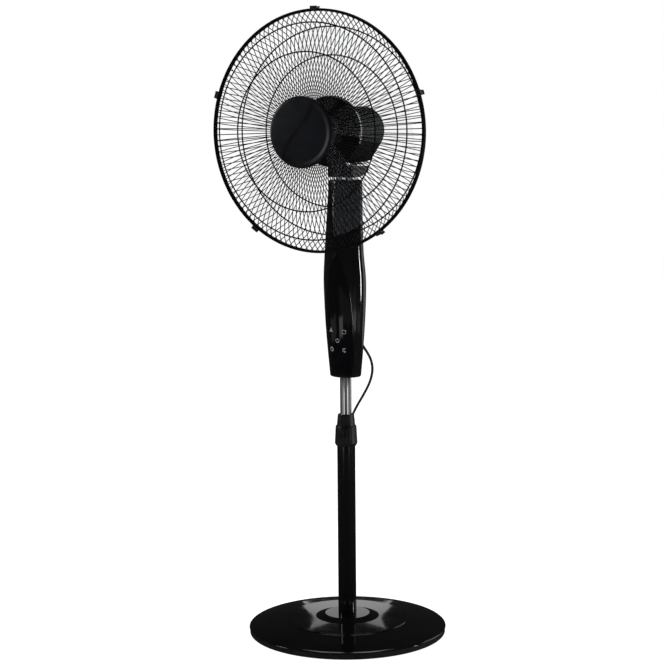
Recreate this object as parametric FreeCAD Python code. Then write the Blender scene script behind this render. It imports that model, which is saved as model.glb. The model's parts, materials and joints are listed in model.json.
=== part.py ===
import FreeCAD, Part
import math
import os

# Pedestal fan, millimetres. Origin: middle of the base on the floor, under the pole.
# +Z is up and the fan faces -Y. The pole axis is Z; the fan axis is parallel to Y at HEAD_Z.

V = FreeCAD.Vector
UP = V(0, 0, 1)

# ---- driving dimensions ----
CAGE_R = 222.5          # outer radius of the guard's rim
HEAD_Z = 967.0          # height of the fan axis
RIM_Y = -103.4          # plane between the two rim wires
RIM_WIRE_R = 2.5
SPOKE_R = 1.0
SPOKES = 120
GUARD_RING_R = 1.5
HUB_R = 65.0            # front badge, and front of the motor housing
PLATE_Y = -57.0         # front face of the motor housing
BADGE_BACK_Y = -157.1   # back edge of the front badge
BLADES = 5
BLADE_R = 195.0
SHAFT_R = 4.0

BASE_R = 190.8          # glossy base cover
SKIRT_R = 189.6         # side of the tray, just inside the cover's rim
RIM_Z = 13.2            # height of the cover's rim
HUB_TOP_Z = 36.0        # flat top of the base hub
HUB_TOP_R = 43.0

POLE_R = 17.5           # lower pole
POLE_WALL = 1.2
POLE_BOTTOM_Z = 20.0
POLE_TOP_Z = 380.0
TUBE_R = 11.0           # chromed inner tube
TUBE_BOTTOM_Z = 122.0
TUBE_TOP_Z = 578.0
COLLAR_BOTTOM_Z = 366.0
COLLAR_TOP_Z = 405.5
SLEEVE_TOP_Z = 427.5

COLUMN_BOTTOM_Z = 501.0
COLUMN_TOP_Z = 875.0
COLUMN_WALL = 2.4
COLUMN_WIDE = 1.046     # section half-width over its mean radius
COLUMN_DEEP = 0.86      # section half-depth over its mean radius
# height, mean radius and middle of the section in Y
COLUMN_SECTIONS = (
    (501.0, 29.3, 0.0),
    (550.0, 33.6, 0.0),
    (600.0, 37.3, 0.0),
    (650.0, 39.6, 0.0),
    (690.0, 40.0, -0.8),
    (739.0, 36.9, -2.4),
    (800.0, 34.2, 0.2),
    (856.0, 32.2, 3.8),
    (875.0, 31.5, 4.5),
)
SEAM_Y = 5.0            # joint between the front and rear shells
SEAM_GAP = 0.25
PANEL_T = 1.2

TILT_Y = 2.0            # tilt axis, parallel to X
TILT_Z = 856.0
NECK_BOTTOM_Z = 880.0
NECK_TOP_Z = 900.0
SWING_PIN_R = 20.0      # link pin on the neck, from the swing axis
SWING_HALF = 40.0       # half of the sweep, degrees
CRANK_Y = 56.0          # crank shaft, on the head

CLIPS = 5
FIT = 0.05              # radial clearance of running fits

CORD_R = 2.5
RELIEF_ELBOW = V(0, 36, 581.2)    # where the strain relief turns down, just behind the column
CORD_EXIT = V(0, 53.8, 565.1)
VIEW_BACK = V(-0.487, 0.873, 0)   # horizontal direction in which the spare cord is laid, behind the pole

os.makedirs("parts", exist_ok=True)


def save(name, shape):
    """Write one node, checking that every solid in it is closed and sound."""
    solids = shape.Solids
    if not solids or not shape.isValid():
        raise ValueError(name + " is not a sound solid")
    out = solids[0] if len(solids) == 1 else Part.makeCompound(solids)
    out.exportStep("parts/" + name + ".step")
    box = out.BoundBox
    print("%-20s %3d solids %9.1f mm3  z %.1f..%.1f" % (name, len(solids), out.Volume, box.ZMin, box.ZMax))
    return out


def rod(radius, start, end):
    return Part.makeCylinder(radius, (end - start).Length, start, end - start)


def pipe(outer, inner, start, end):
    return rod(outer, start, end).cut(rod(inner, start, end))


def block(x0, x1, y0, y1, z0, z1):
    return Part.makeBox(x1 - x0, y1 - y0, z1 - z0, V(x0, y0, z0))


def hex_bar(across, start, end):
    """Hexagonal bar, by its distance across flats."""
    bar = rod(across, start, end)
    axis = end - start
    side = axis.cross(V(0.3, 0.5, 0.81)).normalize()
    turn = FreeCAD.Rotation(axis, 60)
    for _ in range(3):
        low = start + side * (across / 2)
        high = start - side * (across / 2)
        for face, away in ((low, side), (high, -side)):
            slab = Part.makeBox(4 * across, 4 * across, across)
            slab.Placement = FreeCAD.Placement(face, FreeCAD.Rotation(UP, away))
            slab.translate(slab.Placement.Rotation.multVec(V(-2 * across, -2 * across, 0)))
            bar = bar.cut(slab)
        side = turn.multVec(side)
    return bar


def rounded(points, place):
    """Closed wire through (a, b) or (a, b, radius) corners; place turns (a, b) into a point."""
    corners = [place(p[0], p[1]) for p in points]
    radii = [p[2] if len(p) > 2 else 0 for p in points]
    count = len(corners)
    ends = []
    for i in range(count):
        here = corners[i]
        back = corners[i - 1] - here
        ahead = corners[(i + 1) % count] - here
        if not radii[i]:
            ends.append((here, None, here))
            continue
        back.normalize()
        ahead.normalize()
        half = back.getAngle(ahead) / 2
        reach = radii[i] / math.tan(half)
        middle = (back + ahead).normalize() * (radii[i] / math.sin(half))
        top = here + middle - middle.normalize() * radii[i]
        ends.append((here + back * reach, top, here + ahead * reach))
    edges = []
    for i in range(count):
        first, top, last = ends[i]
        if top is not None:
            edges.append(Part.Arc(first, top, last).toShape())
        following = ends[(i + 1) % count][0]
        if (following - last).Length > 1e-6:
            edges.append(Part.LineSegment(last, following).toShape())
    return Part.Wire(edges)


def lathe_z(points):
    """Solid turned about Z from (radius, height) corners."""
    face = Part.Face(rounded(points, lambda r, z: V(r, 0, z)))
    return face.revolve(V(0, 0, 0), UP, 360)


def lathe_y(points):
    """Solid turned about the fan axis from (radius, y) corners."""
    face = Part.Face(rounded(points, lambda r, y: V(r, y, HEAD_Z)))
    return face.revolve(V(0, 0, HEAD_Z), V(0, 1, 0), 360)


def prism_x(points, x0, x1):
    """Solid with a (y, z) outline, from x0 to x1."""
    face = Part.Face(rounded(points, lambda y, z: V(x0, y, z)))
    return face.extrude(V(x1 - x0, 0, 0))


def prism_z(points, z0, z1):
    """Solid with an (x, y) outline, from z0 to z1."""
    face = Part.Face(rounded(points, lambda x, y: V(x, y, z0)))
    return face.extrude(V(0, 0, z1 - z0))


def about_pole(shape, angle):
    copy = shape.copy()
    copy.rotate(V(0, 0, 0), UP, angle)
    return copy


def about_fan(shape, angle):
    copy = shape.copy()
    copy.rotate(V(0, 0, HEAD_Z), V(0, 1, 0), angle)
    return copy


def fuse(first, *others):
    return first.multiFuse(list(others)).removeSplitter()


def head(x, y, z):
    """Point given from the fan axis."""
    return V(x, y, HEAD_Z + z)


# ---- base ----
FOOT_RING = 165.0
SCREW_RING = 150.0
TRAY_Z = 7.0
WEIGHT_Z = 9.0
WEIGHT_TOP_Z = 13.0
BOSS_R = 4.0
SCREW_R = 1.75


def base_feet():
    foot = lathe_z([(0, 0), (9.2, 0), (10, 1.2), (10, TRAY_Z), (0, TRAY_Z)])
    foot.translate(V(FOOT_RING, 0, 0))
    return Part.makeCompound([about_pole(foot, 60 * i) for i in range(6)])


def base_tray():
    """Black plastic tray: a web with a skirt round it."""
    inner = SKIRT_R - 2.4
    tray = lathe_z([(22, TRAY_Z), (inner, TRAY_Z), (inner, 1), (SKIRT_R - 0.8, 1), (SKIRT_R, 1.8),
                    (SKIRT_R, 10.7), (182.5, 10.7), (182.5, WEIGHT_Z), (22, WEIGHT_Z)])
    ribs = [about_pole(block(60, inner + 0.1, -1, 1, 4.2, TRAY_Z), 30 + 60 * i) for i in range(6)]
    tray = fuse(tray, *ribs)
    holes = [about_pole(rod(SCREW_R, V(SCREW_RING, 0, 0), V(SCREW_RING, 0, 20)), 30 + 60 * i) for i in range(6)]
    for hole in holes:
        tray = tray.cut(hole)
    sinks = [about_pole(rod(4, V(SCREW_RING, 0, 4), V(SCREW_RING, 0, TRAY_Z)), 30 + 60 * i) for i in range(6)]
    for sink in sinks:
        tray = tray.cut(sink)
    return tray


def base_weight():
    """Steel disc that keeps the fan standing."""
    disc = lathe_z([(5.4, WEIGHT_Z), (176, WEIGHT_Z), (176, WEIGHT_TOP_Z), (5.4, WEIGHT_TOP_Z)])
    for i in range(6):
        hole = rod(BOSS_R + 0.6, V(SCREW_RING, 0, 0), V(SCREW_RING, 0, 20))
        disc = disc.cut(about_pole(hole, 30 + 60 * i))
    return disc


# Top surface of the cover, from the pole outwards.
COVER_TOP = (
    (POLE_R + 0.1, HUB_TOP_Z),
    (HUB_TOP_R, HUB_TOP_Z, 1.0),
    (61.0, 30.4, 3.0),
    (117.0, 27.4, 0.6),
    (118.2, 25.9, 0.6),
    (158.0, 21.4, 60.0),
    (188.2, 14.6, 9.0),
    (BASE_R, 12.2, 1.2),
)


def base_cover():
    under = [(BASE_R, 10.9), (186.5, 10.9), (185.6, 11.55), (182.5, 11.55), (157.5, 19.0, 60.0), (118.0, 23.6, 1.0),
             (61.0, 27.9, 3.0), (42.6, 33.7, 1.0), (POLE_R + 0.1, 33.7)]
    cover = lathe_z(list(COVER_TOP) + under)
    for i in range(6):
        low = V(SCREW_RING, 0, WEIGHT_Z)
        boss = about_pole(rod(BOSS_R, low, V(SCREW_RING, 0, 21)), 30 + 60 * i)
        hole = about_pole(rod(SCREW_R, low, V(SCREW_RING, 0, 19)), 30 + 60 * i)
        cover = cover.fuse(boss).cut(hole)
    return cover


def base_screws():
    screw = rod(3.6, V(SCREW_RING, 0, 4.6), V(SCREW_RING, 0, TRAY_Z))
    screw = fuse(screw, rod(SCREW_R, V(SCREW_RING, 0, TRAY_Z), V(SCREW_RING, 0, 18)))
    slot = block(SCREW_RING - 3, SCREW_RING + 3, -0.5, 0.5, 4.4, 5.6)
    slot = slot.fuse(block(SCREW_RING - 0.5, SCREW_RING + 0.5, -3, 3, 4.4, 5.6))
    screw = screw.cut(slot)
    return Part.makeCompound([about_pole(screw, 30 + 60 * i) for i in range(6)])


# ---- pole ----
BOLT_R = 5.0
WASHER_Z = 7.8


def pole_socket():
    """Flanged cup that holds the foot of the pole."""
    return lathe_z([(BOLT_R + 0.3, WEIGHT_TOP_Z), (48, WEIGHT_TOP_Z), (48, 16), (24, 17, 2), (21.5, 33, 0.8),
                    (POLE_R, 33), (POLE_R, POLE_BOTTOM_Z), (BOLT_R + 0.3, POLE_BOTTOM_Z)])


def pole_bolt():
    top = rod(BOLT_R, V(0, 0, WASHER_Z), V(0, 0, 45))
    return fuse(hex_bar(16, V(0, 0, 3.2), V(0, 0, WASHER_Z)), top)


def pole_washer():
    return pipe(13, BOLT_R + 0.3, V(0, 0, WASHER_Z), V(0, 0, WEIGHT_Z))


def pole_plug():
    """Threaded plug pressed into the foot of the pole."""
    plug = rod(POLE_R - POLE_WALL, V(0, 0, POLE_BOTTOM_Z), V(0, 0, 48))
    return plug.cut(rod(BOLT_R, V(0, 0, POLE_BOTTOM_Z), V(0, 0, 45)))


def lower_pole():
    return pipe(POLE_R, POLE_R - POLE_WALL, V(0, 0, POLE_BOTTOM_Z), V(0, 0, POLE_TOP_Z))


THREAD_R = 17.8


def collet_sleeve():
    """Bush in the top of the pole, ending in four tapered fingers round the inner tube."""
    bore = TUBE_R + FIT
    sleeve = lathe_z([(bore + 0.3, 340), (POLE_R - POLE_WALL, 340), (POLE_R - POLE_WALL, POLE_TOP_Z),
                      (POLE_R, POLE_TOP_Z), (POLE_R, 384), (THREAD_R, 384), (THREAD_R, 405.8),
                      (17.7, 406.4, 0.3), (15.6, SLEEVE_TOP_Z, 1.2), (bore, SLEEVE_TOP_Z), (bore, 395),
                      (bore + 0.3, 394)])
    slot = block(-0.7, 0.7, -30, 30, 392, SLEEVE_TOP_Z + 1)
    return sleeve.cut(slot).cut(about_pole(slot, 90))


def height_collar():
    """Clamp nut that squeezes the fingers on the inner tube."""
    nut = lathe_z([(POLE_R + 0.1, COLLAR_BOTTOM_Z), (18.9, COLLAR_BOTTOM_Z, 0.6), (21.8, 371.5, 1.5),
                   (20.2, 403.0, 1.2), (19.2, COLLAR_TOP_Z, 0.8), (THREAD_R + FIT, COLLAR_TOP_Z),
                   (THREAD_R + FIT, 383.8), (POLE_R + 0.1, 383.8)])
    for i in range(16):
        flute = rod(2.4, V(0, -23.4, 374), V(0, -22.2, 401))
        nut = nut.cut(about_pole(flute, 11.25 + 22.5 * i))
    tab = prism_x([(-22.6, 384, 2), (-24.0, 392, 3), (-23.2, 401.5, 3), (-19.4, 403.5), (-19.0, 384)], -6.5, 6.5)
    arch = rod(6.5, V(0, -30, 396), V(0, -15, 396)).fuse(block(-6.5, 6.5, -30, -15, 380, 396))
    tab = tab.common(arch).cut(rod(19.0, V(0, 0, 360), V(0, 0, 420)))
    return fuse(nut, tab)


def upper_tube():
    return pipe(TUBE_R, TUBE_R - 1, V(0, 0, TUBE_BOTTOM_Z), V(0, 0, TUBE_TOP_Z))


def tube_end_stop():
    """Plastic ring on the tube's lower end, sliding in the pole."""
    outer = POLE_R - POLE_WALL - FIT
    return lathe_z([(TUBE_R, TUBE_BOTTOM_Z), (outer - 1, TUBE_BOTTOM_Z), (outer, TUBE_BOTTOM_Z + 2),
                    (outer, 138), (TUBE_R, 138)])


# ---- column ----
SOCKET_R = 15.0
STRIP_Y = 17.0          # front face of the steel strip
STRIP_T = 2.5
EAR_X = 13.2            # inner face of the fork's ears
EAR_T = 2.5
RELIEF_R = 4.8
RELIEF_INNER_Y = 22.0   # end of the strain relief inside the column
COLUMN_SCREWS = ((-24, 560), (24, 560), (-24, 700), (24, 700), (-20, 830), (20, 830))


def column_body(inset, low, high):
    """Solid inside the column's outer surface, smaller all round by inset."""
    wires = []
    for z, radius, middle in COLUMN_SECTIONS:
        wide = radius * COLUMN_WIDE - inset
        deep = radius * COLUMN_DEEP - inset
        ring = Part.Ellipse(V(0, 0, 0), wide, deep).toShape()
        ring.translate(V(0, middle, z))
        wires.append(Part.Wire([ring]))
    body = Part.makeLoft(wires, True, False)
    return body.common(block(-80, 80, -80, 80, low, high))


def panel_outline(shrink):
    """Teardrop outline of the control panel on the front, as a prism along Y."""
    half = ((23.5, 508), (28.0, 545), (29.5, 585), (28.3, 630), (24.5, 668), (15.5, 705), (6.5, 730))
    right = [V(x - shrink, -70, z + (shrink if z < 520 else 0)) for x, z in half]
    apex = [V(0, -70, 741 - 2 * shrink)]
    left = [V(-p.x, p.y, p.z) for p in reversed(right)]
    side = Part.BSplineCurve()
    side.interpolate(right + apex + left)
    foot = Part.LineSegment(left[-1], right[0]).toShape()
    face = Part.Face(Part.Wire([side.toShape(), foot]))
    return face.extrude(V(0, 69, 0))


COLUMN_OUTER = column_body(0, COLUMN_BOTTOM_Z, COLUMN_TOP_Z)
COLUMN_SKIN = column_body(PANEL_T, COLUMN_BOTTOM_Z, COLUMN_TOP_Z)
COLUMN_INNER = column_body(COLUMN_WALL, COLUMN_BOTTOM_Z + 2.5, COLUMN_TOP_Z - 2.5)
BOARD_Y = -20.4         # back of the control board
BOARD_T = 1.6
BOARD_BOSSES = ((-14, 552), (14, 552), (-14, 632), (14, 632))


def column_shell():
    shell = COLUMN_OUTER.cut(COLUMN_INNER)
    shell = shell.cut(rod(TUBE_R + 0.3, V(0, 0, 490), V(0, 0, 510)))
    slot = block(-14.2, 14.2, TILT_Y - 20, TILT_Y + 20, 860, 880)
    return shell.cut(slot)


def column_front(shell):
    front = shell.common(block(-80, 80, -80, SEAM_Y - SEAM_GAP / 2, 490, 880))
    front = front.cut(panel_outline(0).cut(COLUMN_SKIN))
    for x, z in BOARD_BOSSES:
        boss = pipe(2.8, 1.0, V(x, -45, z), V(x, BOARD_Y - BOARD_T, z)).common(COLUMN_INNER)
        front = front.fuse(boss)
    for x, z in COLUMN_SCREWS:
        boss = pipe(3.6, SCREW_R, V(x, -60, z), V(x, SEAM_Y - SEAM_GAP / 2, z)).common(COLUMN_INNER)
        front = front.fuse(boss)
    return front


def column_rear(shell):
    rear = shell.common(block(-80, 80, SEAM_Y + SEAM_GAP / 2, 80, 490, 880))
    for x, z in COLUMN_SCREWS:
        boss = rod(3.6, V(x, SEAM_Y + SEAM_GAP / 2, z), V(x, 60, z)).common(COLUMN_INNER)
        hole = rod(SCREW_R, V(x, 0, z), V(x, 80, z))
        sink = rod(3.4, V(x, SEAM_Y + 4, z), V(x, 80, z))
        rear = rear.fuse(boss).cut(hole).cut(sink)
    return rear.cut(rod(RELIEF_R + 0.2, V(0, 10, RELIEF_ELBOW.z), V(0, 60, RELIEF_ELBOW.z)))


def control_panel():
    """Gloss panel let into the front of the column."""
    return panel_outline(0.25).common(COLUMN_OUTER).cut(COLUMN_SKIN)


def control_board():
    board = block(-18, 18, BOARD_Y - BOARD_T, BOARD_Y, 545, 640)
    for x, z in BOARD_BOSSES:
        board = board.cut(rod(1.0, V(x, -30, z), V(x, -10, z)))
    chip = block(-6, 6, BOARD_Y, BOARD_Y + 3, 604, 616)
    relays = [block(x, x + 8, BOARD_Y, BOARD_Y + 7, 585, 598) for x in (-15, -4, 7)]
    return fuse(board, chip, *relays)


def run_capacitor():
    can = block(-15, 15, BOARD_Y, BOARD_Y + 15, 618, 637)
    return can.makeFillet(1.5, [e for e in can.Edges if abs(e.tangentAt(0).z) > 0.9])


def tube_socket():
    """Socket that grips the top of the inner tube."""
    socket = rod(SOCKET_R, V(0, 0, COLUMN_BOTTOM_Z + 2.5), V(0, 0, 580))
    socket = fuse(socket, block(-11, 11, 5, STRIP_Y, 545, 580))
    socket = socket.cut(rod(TUBE_R, V(0, 0, 500), V(0, 0, TUBE_TOP_Z)))
    return socket.cut(rod(TUBE_R - 2, V(0, 0, 570), V(0, 0, 590)))


def column_frame():
    """Steel strip from the tube socket up to the fork that carries the head."""
    strip = block(-EAR_X - EAR_T, EAR_X + EAR_T, STRIP_Y, STRIP_Y + STRIP_T, 545, 870)
    ear_outline = [(STRIP_Y, 832), (TILT_Y - 12, 846, 6), (TILT_Y - 12, 870, 8), (STRIP_Y, 870)]
    ears = [prism_x(ear_outline, x, x + EAR_T) for x in (-EAR_X - EAR_T, EAR_X)]
    frame = fuse(strip, *ears)
    for z in (553, 572):
        frame = frame.cut(rod(SCREW_R, V(0, 10, z), V(0, 30, z)))
    window = block(-8, 8, STRIP_Y - 1, STRIP_Y + STRIP_T + 1, 640, 780)
    # room between the ears for the saddle's cheeks as the head leans back
    notch = block(-EAR_X, EAR_X, STRIP_Y - 1, STRIP_Y + STRIP_T + 1, 866, 871)
    return frame.cut(window).cut(notch).cut(rod(4.0, V(-30, TILT_Y, TILT_Z), V(30, TILT_Y, TILT_Z)))


def column_screws():
    """Shell screws from behind, and two that hold the strip to the socket."""
    screws = []
    for x, z in COLUMN_SCREWS:
        start = V(x, SEAM_Y + 4, z)
        screws.append(fuse(rod(3.2, start, start + V(0, 2.2, 0)), rod(SCREW_R, start, start - V(0, 16, 0))))
    for z in (553, 572):
        start = V(0, STRIP_Y + STRIP_T, z)
        screws.append(fuse(rod(3.2, start, start + V(0, 2.2, 0)), rod(SCREW_R, start, start - V(0, STRIP_T, 0))))
    return Part.makeCompound(screws)


def strain_relief():
    """Tapered rubber sleeve where the cord leaves the column, turned down along the cord."""
    down = CORD_EXIT - RELIEF_ELBOW
    start = V(0, RELIEF_INNER_Y, RELIEF_ELBOW.z)
    cone = Part.makeCone(RELIEF_R, CORD_R + 1, down.Length, RELIEF_ELBOW, down)
    elbow = Part.makeSphere(RELIEF_R + 0.2, RELIEF_ELBOW, V(0, 1, 0))
    grip = rod(RELIEF_R, start, RELIEF_ELBOW)
    flange = rod(6.5, start, start + V(0, 2.8, 0))
    body = fuse(cone, elbow, grip, flange)
    down.normalize()
    for i in range(4):
        groove = RELIEF_ELBOW + down * (6.4 + 4.4 * i)
        body = body.cut(pipe(8, CORD_R + 0.5, groove, groove + down * 1.4))
    return body


def tilt_bolt():
    shank = rod(4.0, V(-EAR_X - EAR_T - 7, TILT_Y, TILT_Z), V(EAR_X + EAR_T, TILT_Y, TILT_Z))
    bolt_head = hex_bar(13, V(EAR_X + EAR_T, TILT_Y, TILT_Z), V(EAR_X + EAR_T + 5, TILT_Y, TILT_Z))
    return fuse(shank, bolt_head)


def tilt_nut():
    start = V(-EAR_X - EAR_T - 6.5, TILT_Y, TILT_Z)
    return hex_bar(13, start, V(-EAR_X - EAR_T, TILT_Y, TILT_Z)).cut(rod(4.0, start, V(0, TILT_Y, TILT_Z)))


# ---- neck: tilts in the column's fork and carries the head's swing ----
STEM_R = 6.0
SHOULDER_R = 8.0
BUSH_R = 9.0
SADDLE_X = 20.0         # half-width and half-depth of the saddle's plate
SADDLE_Y = 13.0


def neck_tongue():
    """Steel saddle that hangs in the fork, with a plate under the neck."""
    cheek_outline = [(TILT_Y - 11, TILT_Z - 10.5, 8.5), (TILT_Y + 11, TILT_Z - 10.5, 8.5),
                     (TILT_Y + 11, NECK_BOTTOM_Z + 1), (TILT_Y - 11, NECK_BOTTOM_Z + 1)]
    cheeks = [prism_x(cheek_outline, x, x + 3) for x in (-13.0, 10.0)]
    plate = block(-SADDLE_X, SADDLE_X, TILT_Y - SADDLE_Y, TILT_Y + SADDLE_Y, NECK_BOTTOM_Z, NECK_BOTTOM_Z + 2.5)
    spacer = rod(7, V(-11, TILT_Y, TILT_Z), V(11, TILT_Y, TILT_Z))
    saddle = fuse(plate, spacer, *cheeks)
    saddle = saddle.cut(rod(BUSH_R, V(0, 0, 870), V(0, 0, 890)))
    return saddle.cut(rod(4 + FIT, V(-30, TILT_Y, TILT_Z), V(30, TILT_Y, TILT_Z)))


def neck_housing():
    """Plastic wedge over the saddle, open below, with a link pin on top."""
    side = [(-9, NECK_BOTTOM_Z), (14, NECK_BOTTOM_Z), (57, 893), (57, NECK_TOP_Z), (-24, NECK_TOP_Z), (-24, 887)]
    outer = prism_x(side, -27, 27)
    plan = prism_z([(-27, -24, 12), (27, -24, 12), (27, 57, 14), (-27, 57, 14)], 870, 910)
    outer = outer.common(plan)
    inner = prism_x([(-21.6, 870), (54.6, 870), (54.6, 897.4), (-21.6, 897.4)], -24.6, 24.6)
    plan_in = prism_z([(-24.6, -21.6, 9.6), (24.6, -21.6, 9.6), (24.6, 54.6, 11.6), (-24.6, 54.6, 11.6)], 860, 910)
    floor_line = prism_x([(-60, 860), (90, 860), (90, 905), (57, 895.4), (14, 882.5), (-9, 882.5), (-24, 889.5),
                          (-60, 905)], -40, 40)
    hollow = inner.common(plan_in).cut(floor_line)
    body = outer.cut(hollow)
    body = body.cut(block(-SADDLE_X - 0.2, SADDLE_X + 0.2, TILT_Y - SADDLE_Y - 0.2, TILT_Y + SADDLE_Y + 0.2, 870,
                          NECK_BOTTOM_Z + 2.6))
    body = fuse(body, rod(BUSH_R + 2.5, V(0, 0, 883.5), V(0, 0, NECK_TOP_Z - 1)))
    body = body.cut(rod(BUSH_R, V(0, 0, 870), V(0, 0, 910)))
    pin = V(-SWING_PIN_R, 0, NECK_TOP_Z)
    return fuse(body, rod(1.5, pin - V(0, 0, 1), pin + V(0, 0, 2.2)))


def swivel_bush():
    return pipe(BUSH_R, STEM_R + FIT, V(0, 0, 883.5), V(0, 0, NECK_TOP_Z))


# ---- swing drive: crank on the head, link to the neck's pin ----
CRANK_R = SWING_PIN_R * math.sin(math.radians(SWING_HALF))
LINK_Z = NECK_TOP_Z + 0.5
LINK_T = 1.5
CRANK_Z = 902.4
CRANK_T = 2.6
# sideways reach of the link: the mean of its values at mid swing and at full swing
LINK_SIDE = SWING_PIN_R * (1 + math.cos(math.radians(SWING_HALF))) / 2 - CRANK_R / 2
EYE_HOLE = 5.9
EYE_R = 8.2


def swing_crank():
    centre = V(0, CRANK_Y, CRANK_Z)
    pin = V(-CRANK_R, CRANK_Y, CRANK_Z)
    disc = rod(CRANK_R + 3.5, centre, centre + V(0, 0, CRANK_T))
    shaft = rod(2.5, centre, V(0, CRANK_Y, 928))
    return fuse(disc, shaft, rod(2.0, pin, V(pin.x, pin.y, NECK_TOP_Z + 0.3)))


def swing_link():
    near = V(-CRANK_R, CRANK_Y, LINK_Z)
    far = V(-CRANK_R - LINK_SIDE, 0, LINK_Z)
    up = V(0, 0, LINK_T)
    run = far - near
    bar = Part.makeBox(run.Length, 6, LINK_T)
    bar.Placement = FreeCAD.Placement(near, FreeCAD.Rotation(V(1, 0, 0), run))
    bar.translate(bar.Placement.Rotation.multVec(V(0, -3, 0)))
    link = fuse(bar, rod(4.5, near, near + up), rod(EYE_R, far, far + up))
    return link.cut(rod(2.0 + FIT, near, near + up)).cut(rod(EYE_HOLE, far, far + up))


# ---- motor ----
CORE_R = 37.0
BELL_R = 39.0
ROTOR_R = 22.0
FLANGE_Y = -44.0        # back edge of the front cover
CASE_WALL = 2.2
CASE_R = 45.5           # rear cover round the motor
CASE_END_Y = 83.0
GEAR_R = 25.0           # rear cover round the swing motor below
GEAR_Z = -36.0
BOSS_RING = 31.0
SNOUT_R = 20.0
SWING_MOTOR_R = 16.0


def swivel_stem():
    """Pivot pin of the swing, with a cradle under the motor."""
    stem = rod(STEM_R, V(0, 0, 884.5), V(0, 0, 935))
    shoulder = rod(SHOULDER_R, V(0, 0, NECK_TOP_Z + 0.1), V(0, 0, 935))
    ring = lathe_y([(BELL_R, -11), (BELL_R + 3, -11), (BELL_R + 3, 11), (BELL_R, 11)])
    cradle = ring.common(block(-34, 34, -20, 20, 900, HEAD_Z - 30))
    column = fuse(stem, shoulder, cradle)
    # flat on one side, where the swing link passes at the end of the sweep
    flat = block(-9, -5.2, -9, 9, LINK_Z - 0.1, LINK_Z + LINK_T + 0.4)
    flat.rotate(V(0, 0, 0), V(0, 0, 1), -math.degrees(math.atan2(LINK_SIDE, CRANK_Y)))
    return column.cut(flat).cut(rod(BELL_R, head(0, -60, 0), head(0, 60, 0)))


def boss_places():
    """(x, z) of the three screws that hold the front cover to the motor."""
    turns = [math.radians(90 + 120 * i) for i in range(3)]
    return [(BOSS_RING * math.cos(turn), BOSS_RING * math.sin(turn)) for turn in turns]


def motor_front_cover():
    """Round front plate with a lip, and the threaded snout that carries the rear guard."""
    inner = PLATE_Y + CASE_WALL
    cover = lathe_y([(5.0, PLATE_Y), (HUB_R, PLATE_Y, 2.5), (HUB_R - 0.4, FLANGE_Y), (HUB_R - 2.6, FLANGE_Y),
                     (HUB_R - 2.2, inner, 1.5), (5.0, inner)])
    snout = lathe_y([(5.0, PLATE_Y + 1), (SNOUT_R, PLATE_Y + 1), (SNOUT_R, -71), (SNOUT_R - 1, -72),
                     (5.0, -72)])
    bosses = [pipe(4, SCREW_R, head(x, PLATE_Y + 1, z), head(x, -38, z)) for x, z in boss_places()]
    cover = fuse(cover, snout, *bosses)
    for x, z in boss_places():
        cover = cover.cut(rod(SCREW_R, head(x, -60, z), head(x, -38, z)))
    return cover.cut(rod(6.5, head(0, -73, 0), head(0, -50, 0)))


def motor_trim_ring():
    """Bright band round the front of the motor housing."""
    return lathe_y([(HUB_R, -54.2), (HUB_R + 0.8, -53.6), (HUB_R + 0.8, -49.8), (HUB_R, -49.2)])


def case_body(inset, start, end, edge):
    """Solid inside the rear cover's surface: a circle round the motor, a smaller one round the swing motor
    below it, and the two lines that touch both. Its rear edge is rounded."""
    big = CASE_R - inset
    small = GEAR_R - inset
    lean = math.asin((small - big) / GEAR_Z)
    high = (big * math.cos(lean), -big * math.sin(lean))
    low = (small * math.cos(lean), GEAR_Z - small * math.sin(lean))
    right = [head(x, start, z) for x, z in (high, low)]
    left = [head(-x, start, z) for x, z in (high, low)]
    edges = [Part.Arc(left[0], head(0, start, big), right[0]).toShape(),
             Part.LineSegment(right[0], right[1]).toShape(),
             Part.Arc(right[1], head(0, start, GEAR_Z - small), left[1]).toShape(),
             Part.LineSegment(left[1], left[0]).toShape()]
    solid = Part.Face(Part.Wire(edges)).extrude(V(0, end - start, 0))
    return solid.makeFillet(edge, [e for e in solid.Edges if e.BoundBox.YMin > end - 0.1])


def motor_rear_cover():
    start = PLATE_Y + CASE_WALL + 0.05
    cover = case_body(0, start, CASE_END_Y, 8.0)
    cover = cover.cut(case_body(CASE_WALL, start - 5, CASE_END_Y - CASE_WALL, 8.0 - CASE_WALL))
    for i in range(16):
        slot = block(-1.3, 1.3, 70, 100, HEAD_Z + 13, HEAD_Z + 33)
        cover = cover.cut(about_fan(slot, 22.5 * i))
    cover = cover.cut(rod(SHOULDER_R + 1.2, V(0, 0, 890), V(0, 0, 920)))
    return cover.cut(rod(4.0, V(0, CRANK_Y, 900), V(0, CRANK_Y, 915)))


def stator_core():
    core = lathe_y([(ROTOR_R + 0.4, -14), (CORE_R, -14), (CORE_R, 14), (ROTOR_R + 0.4, 14)])
    slots = []
    for i in range(12):
        hole = rod(4.4, head(30, -20, 0), head(30, 20, 0)).fuse(block(22, 28, -20, 20, HEAD_Z - 1.1, HEAD_Z + 1.1))
        slots.append(about_fan(hole, 30 * i))
    for slot in slots:
        core = core.cut(slot)
    return core


def stator_windings():
    """Copper end turns, one ring at each end of the core."""
    rings = [lathe_y([(24.5, y, 3), (35, y, 3), (35, y + 9, 4), (24.5, y + 9, 4)]) for y in (-23, 14)]
    return Part.makeCompound(rings)


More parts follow.
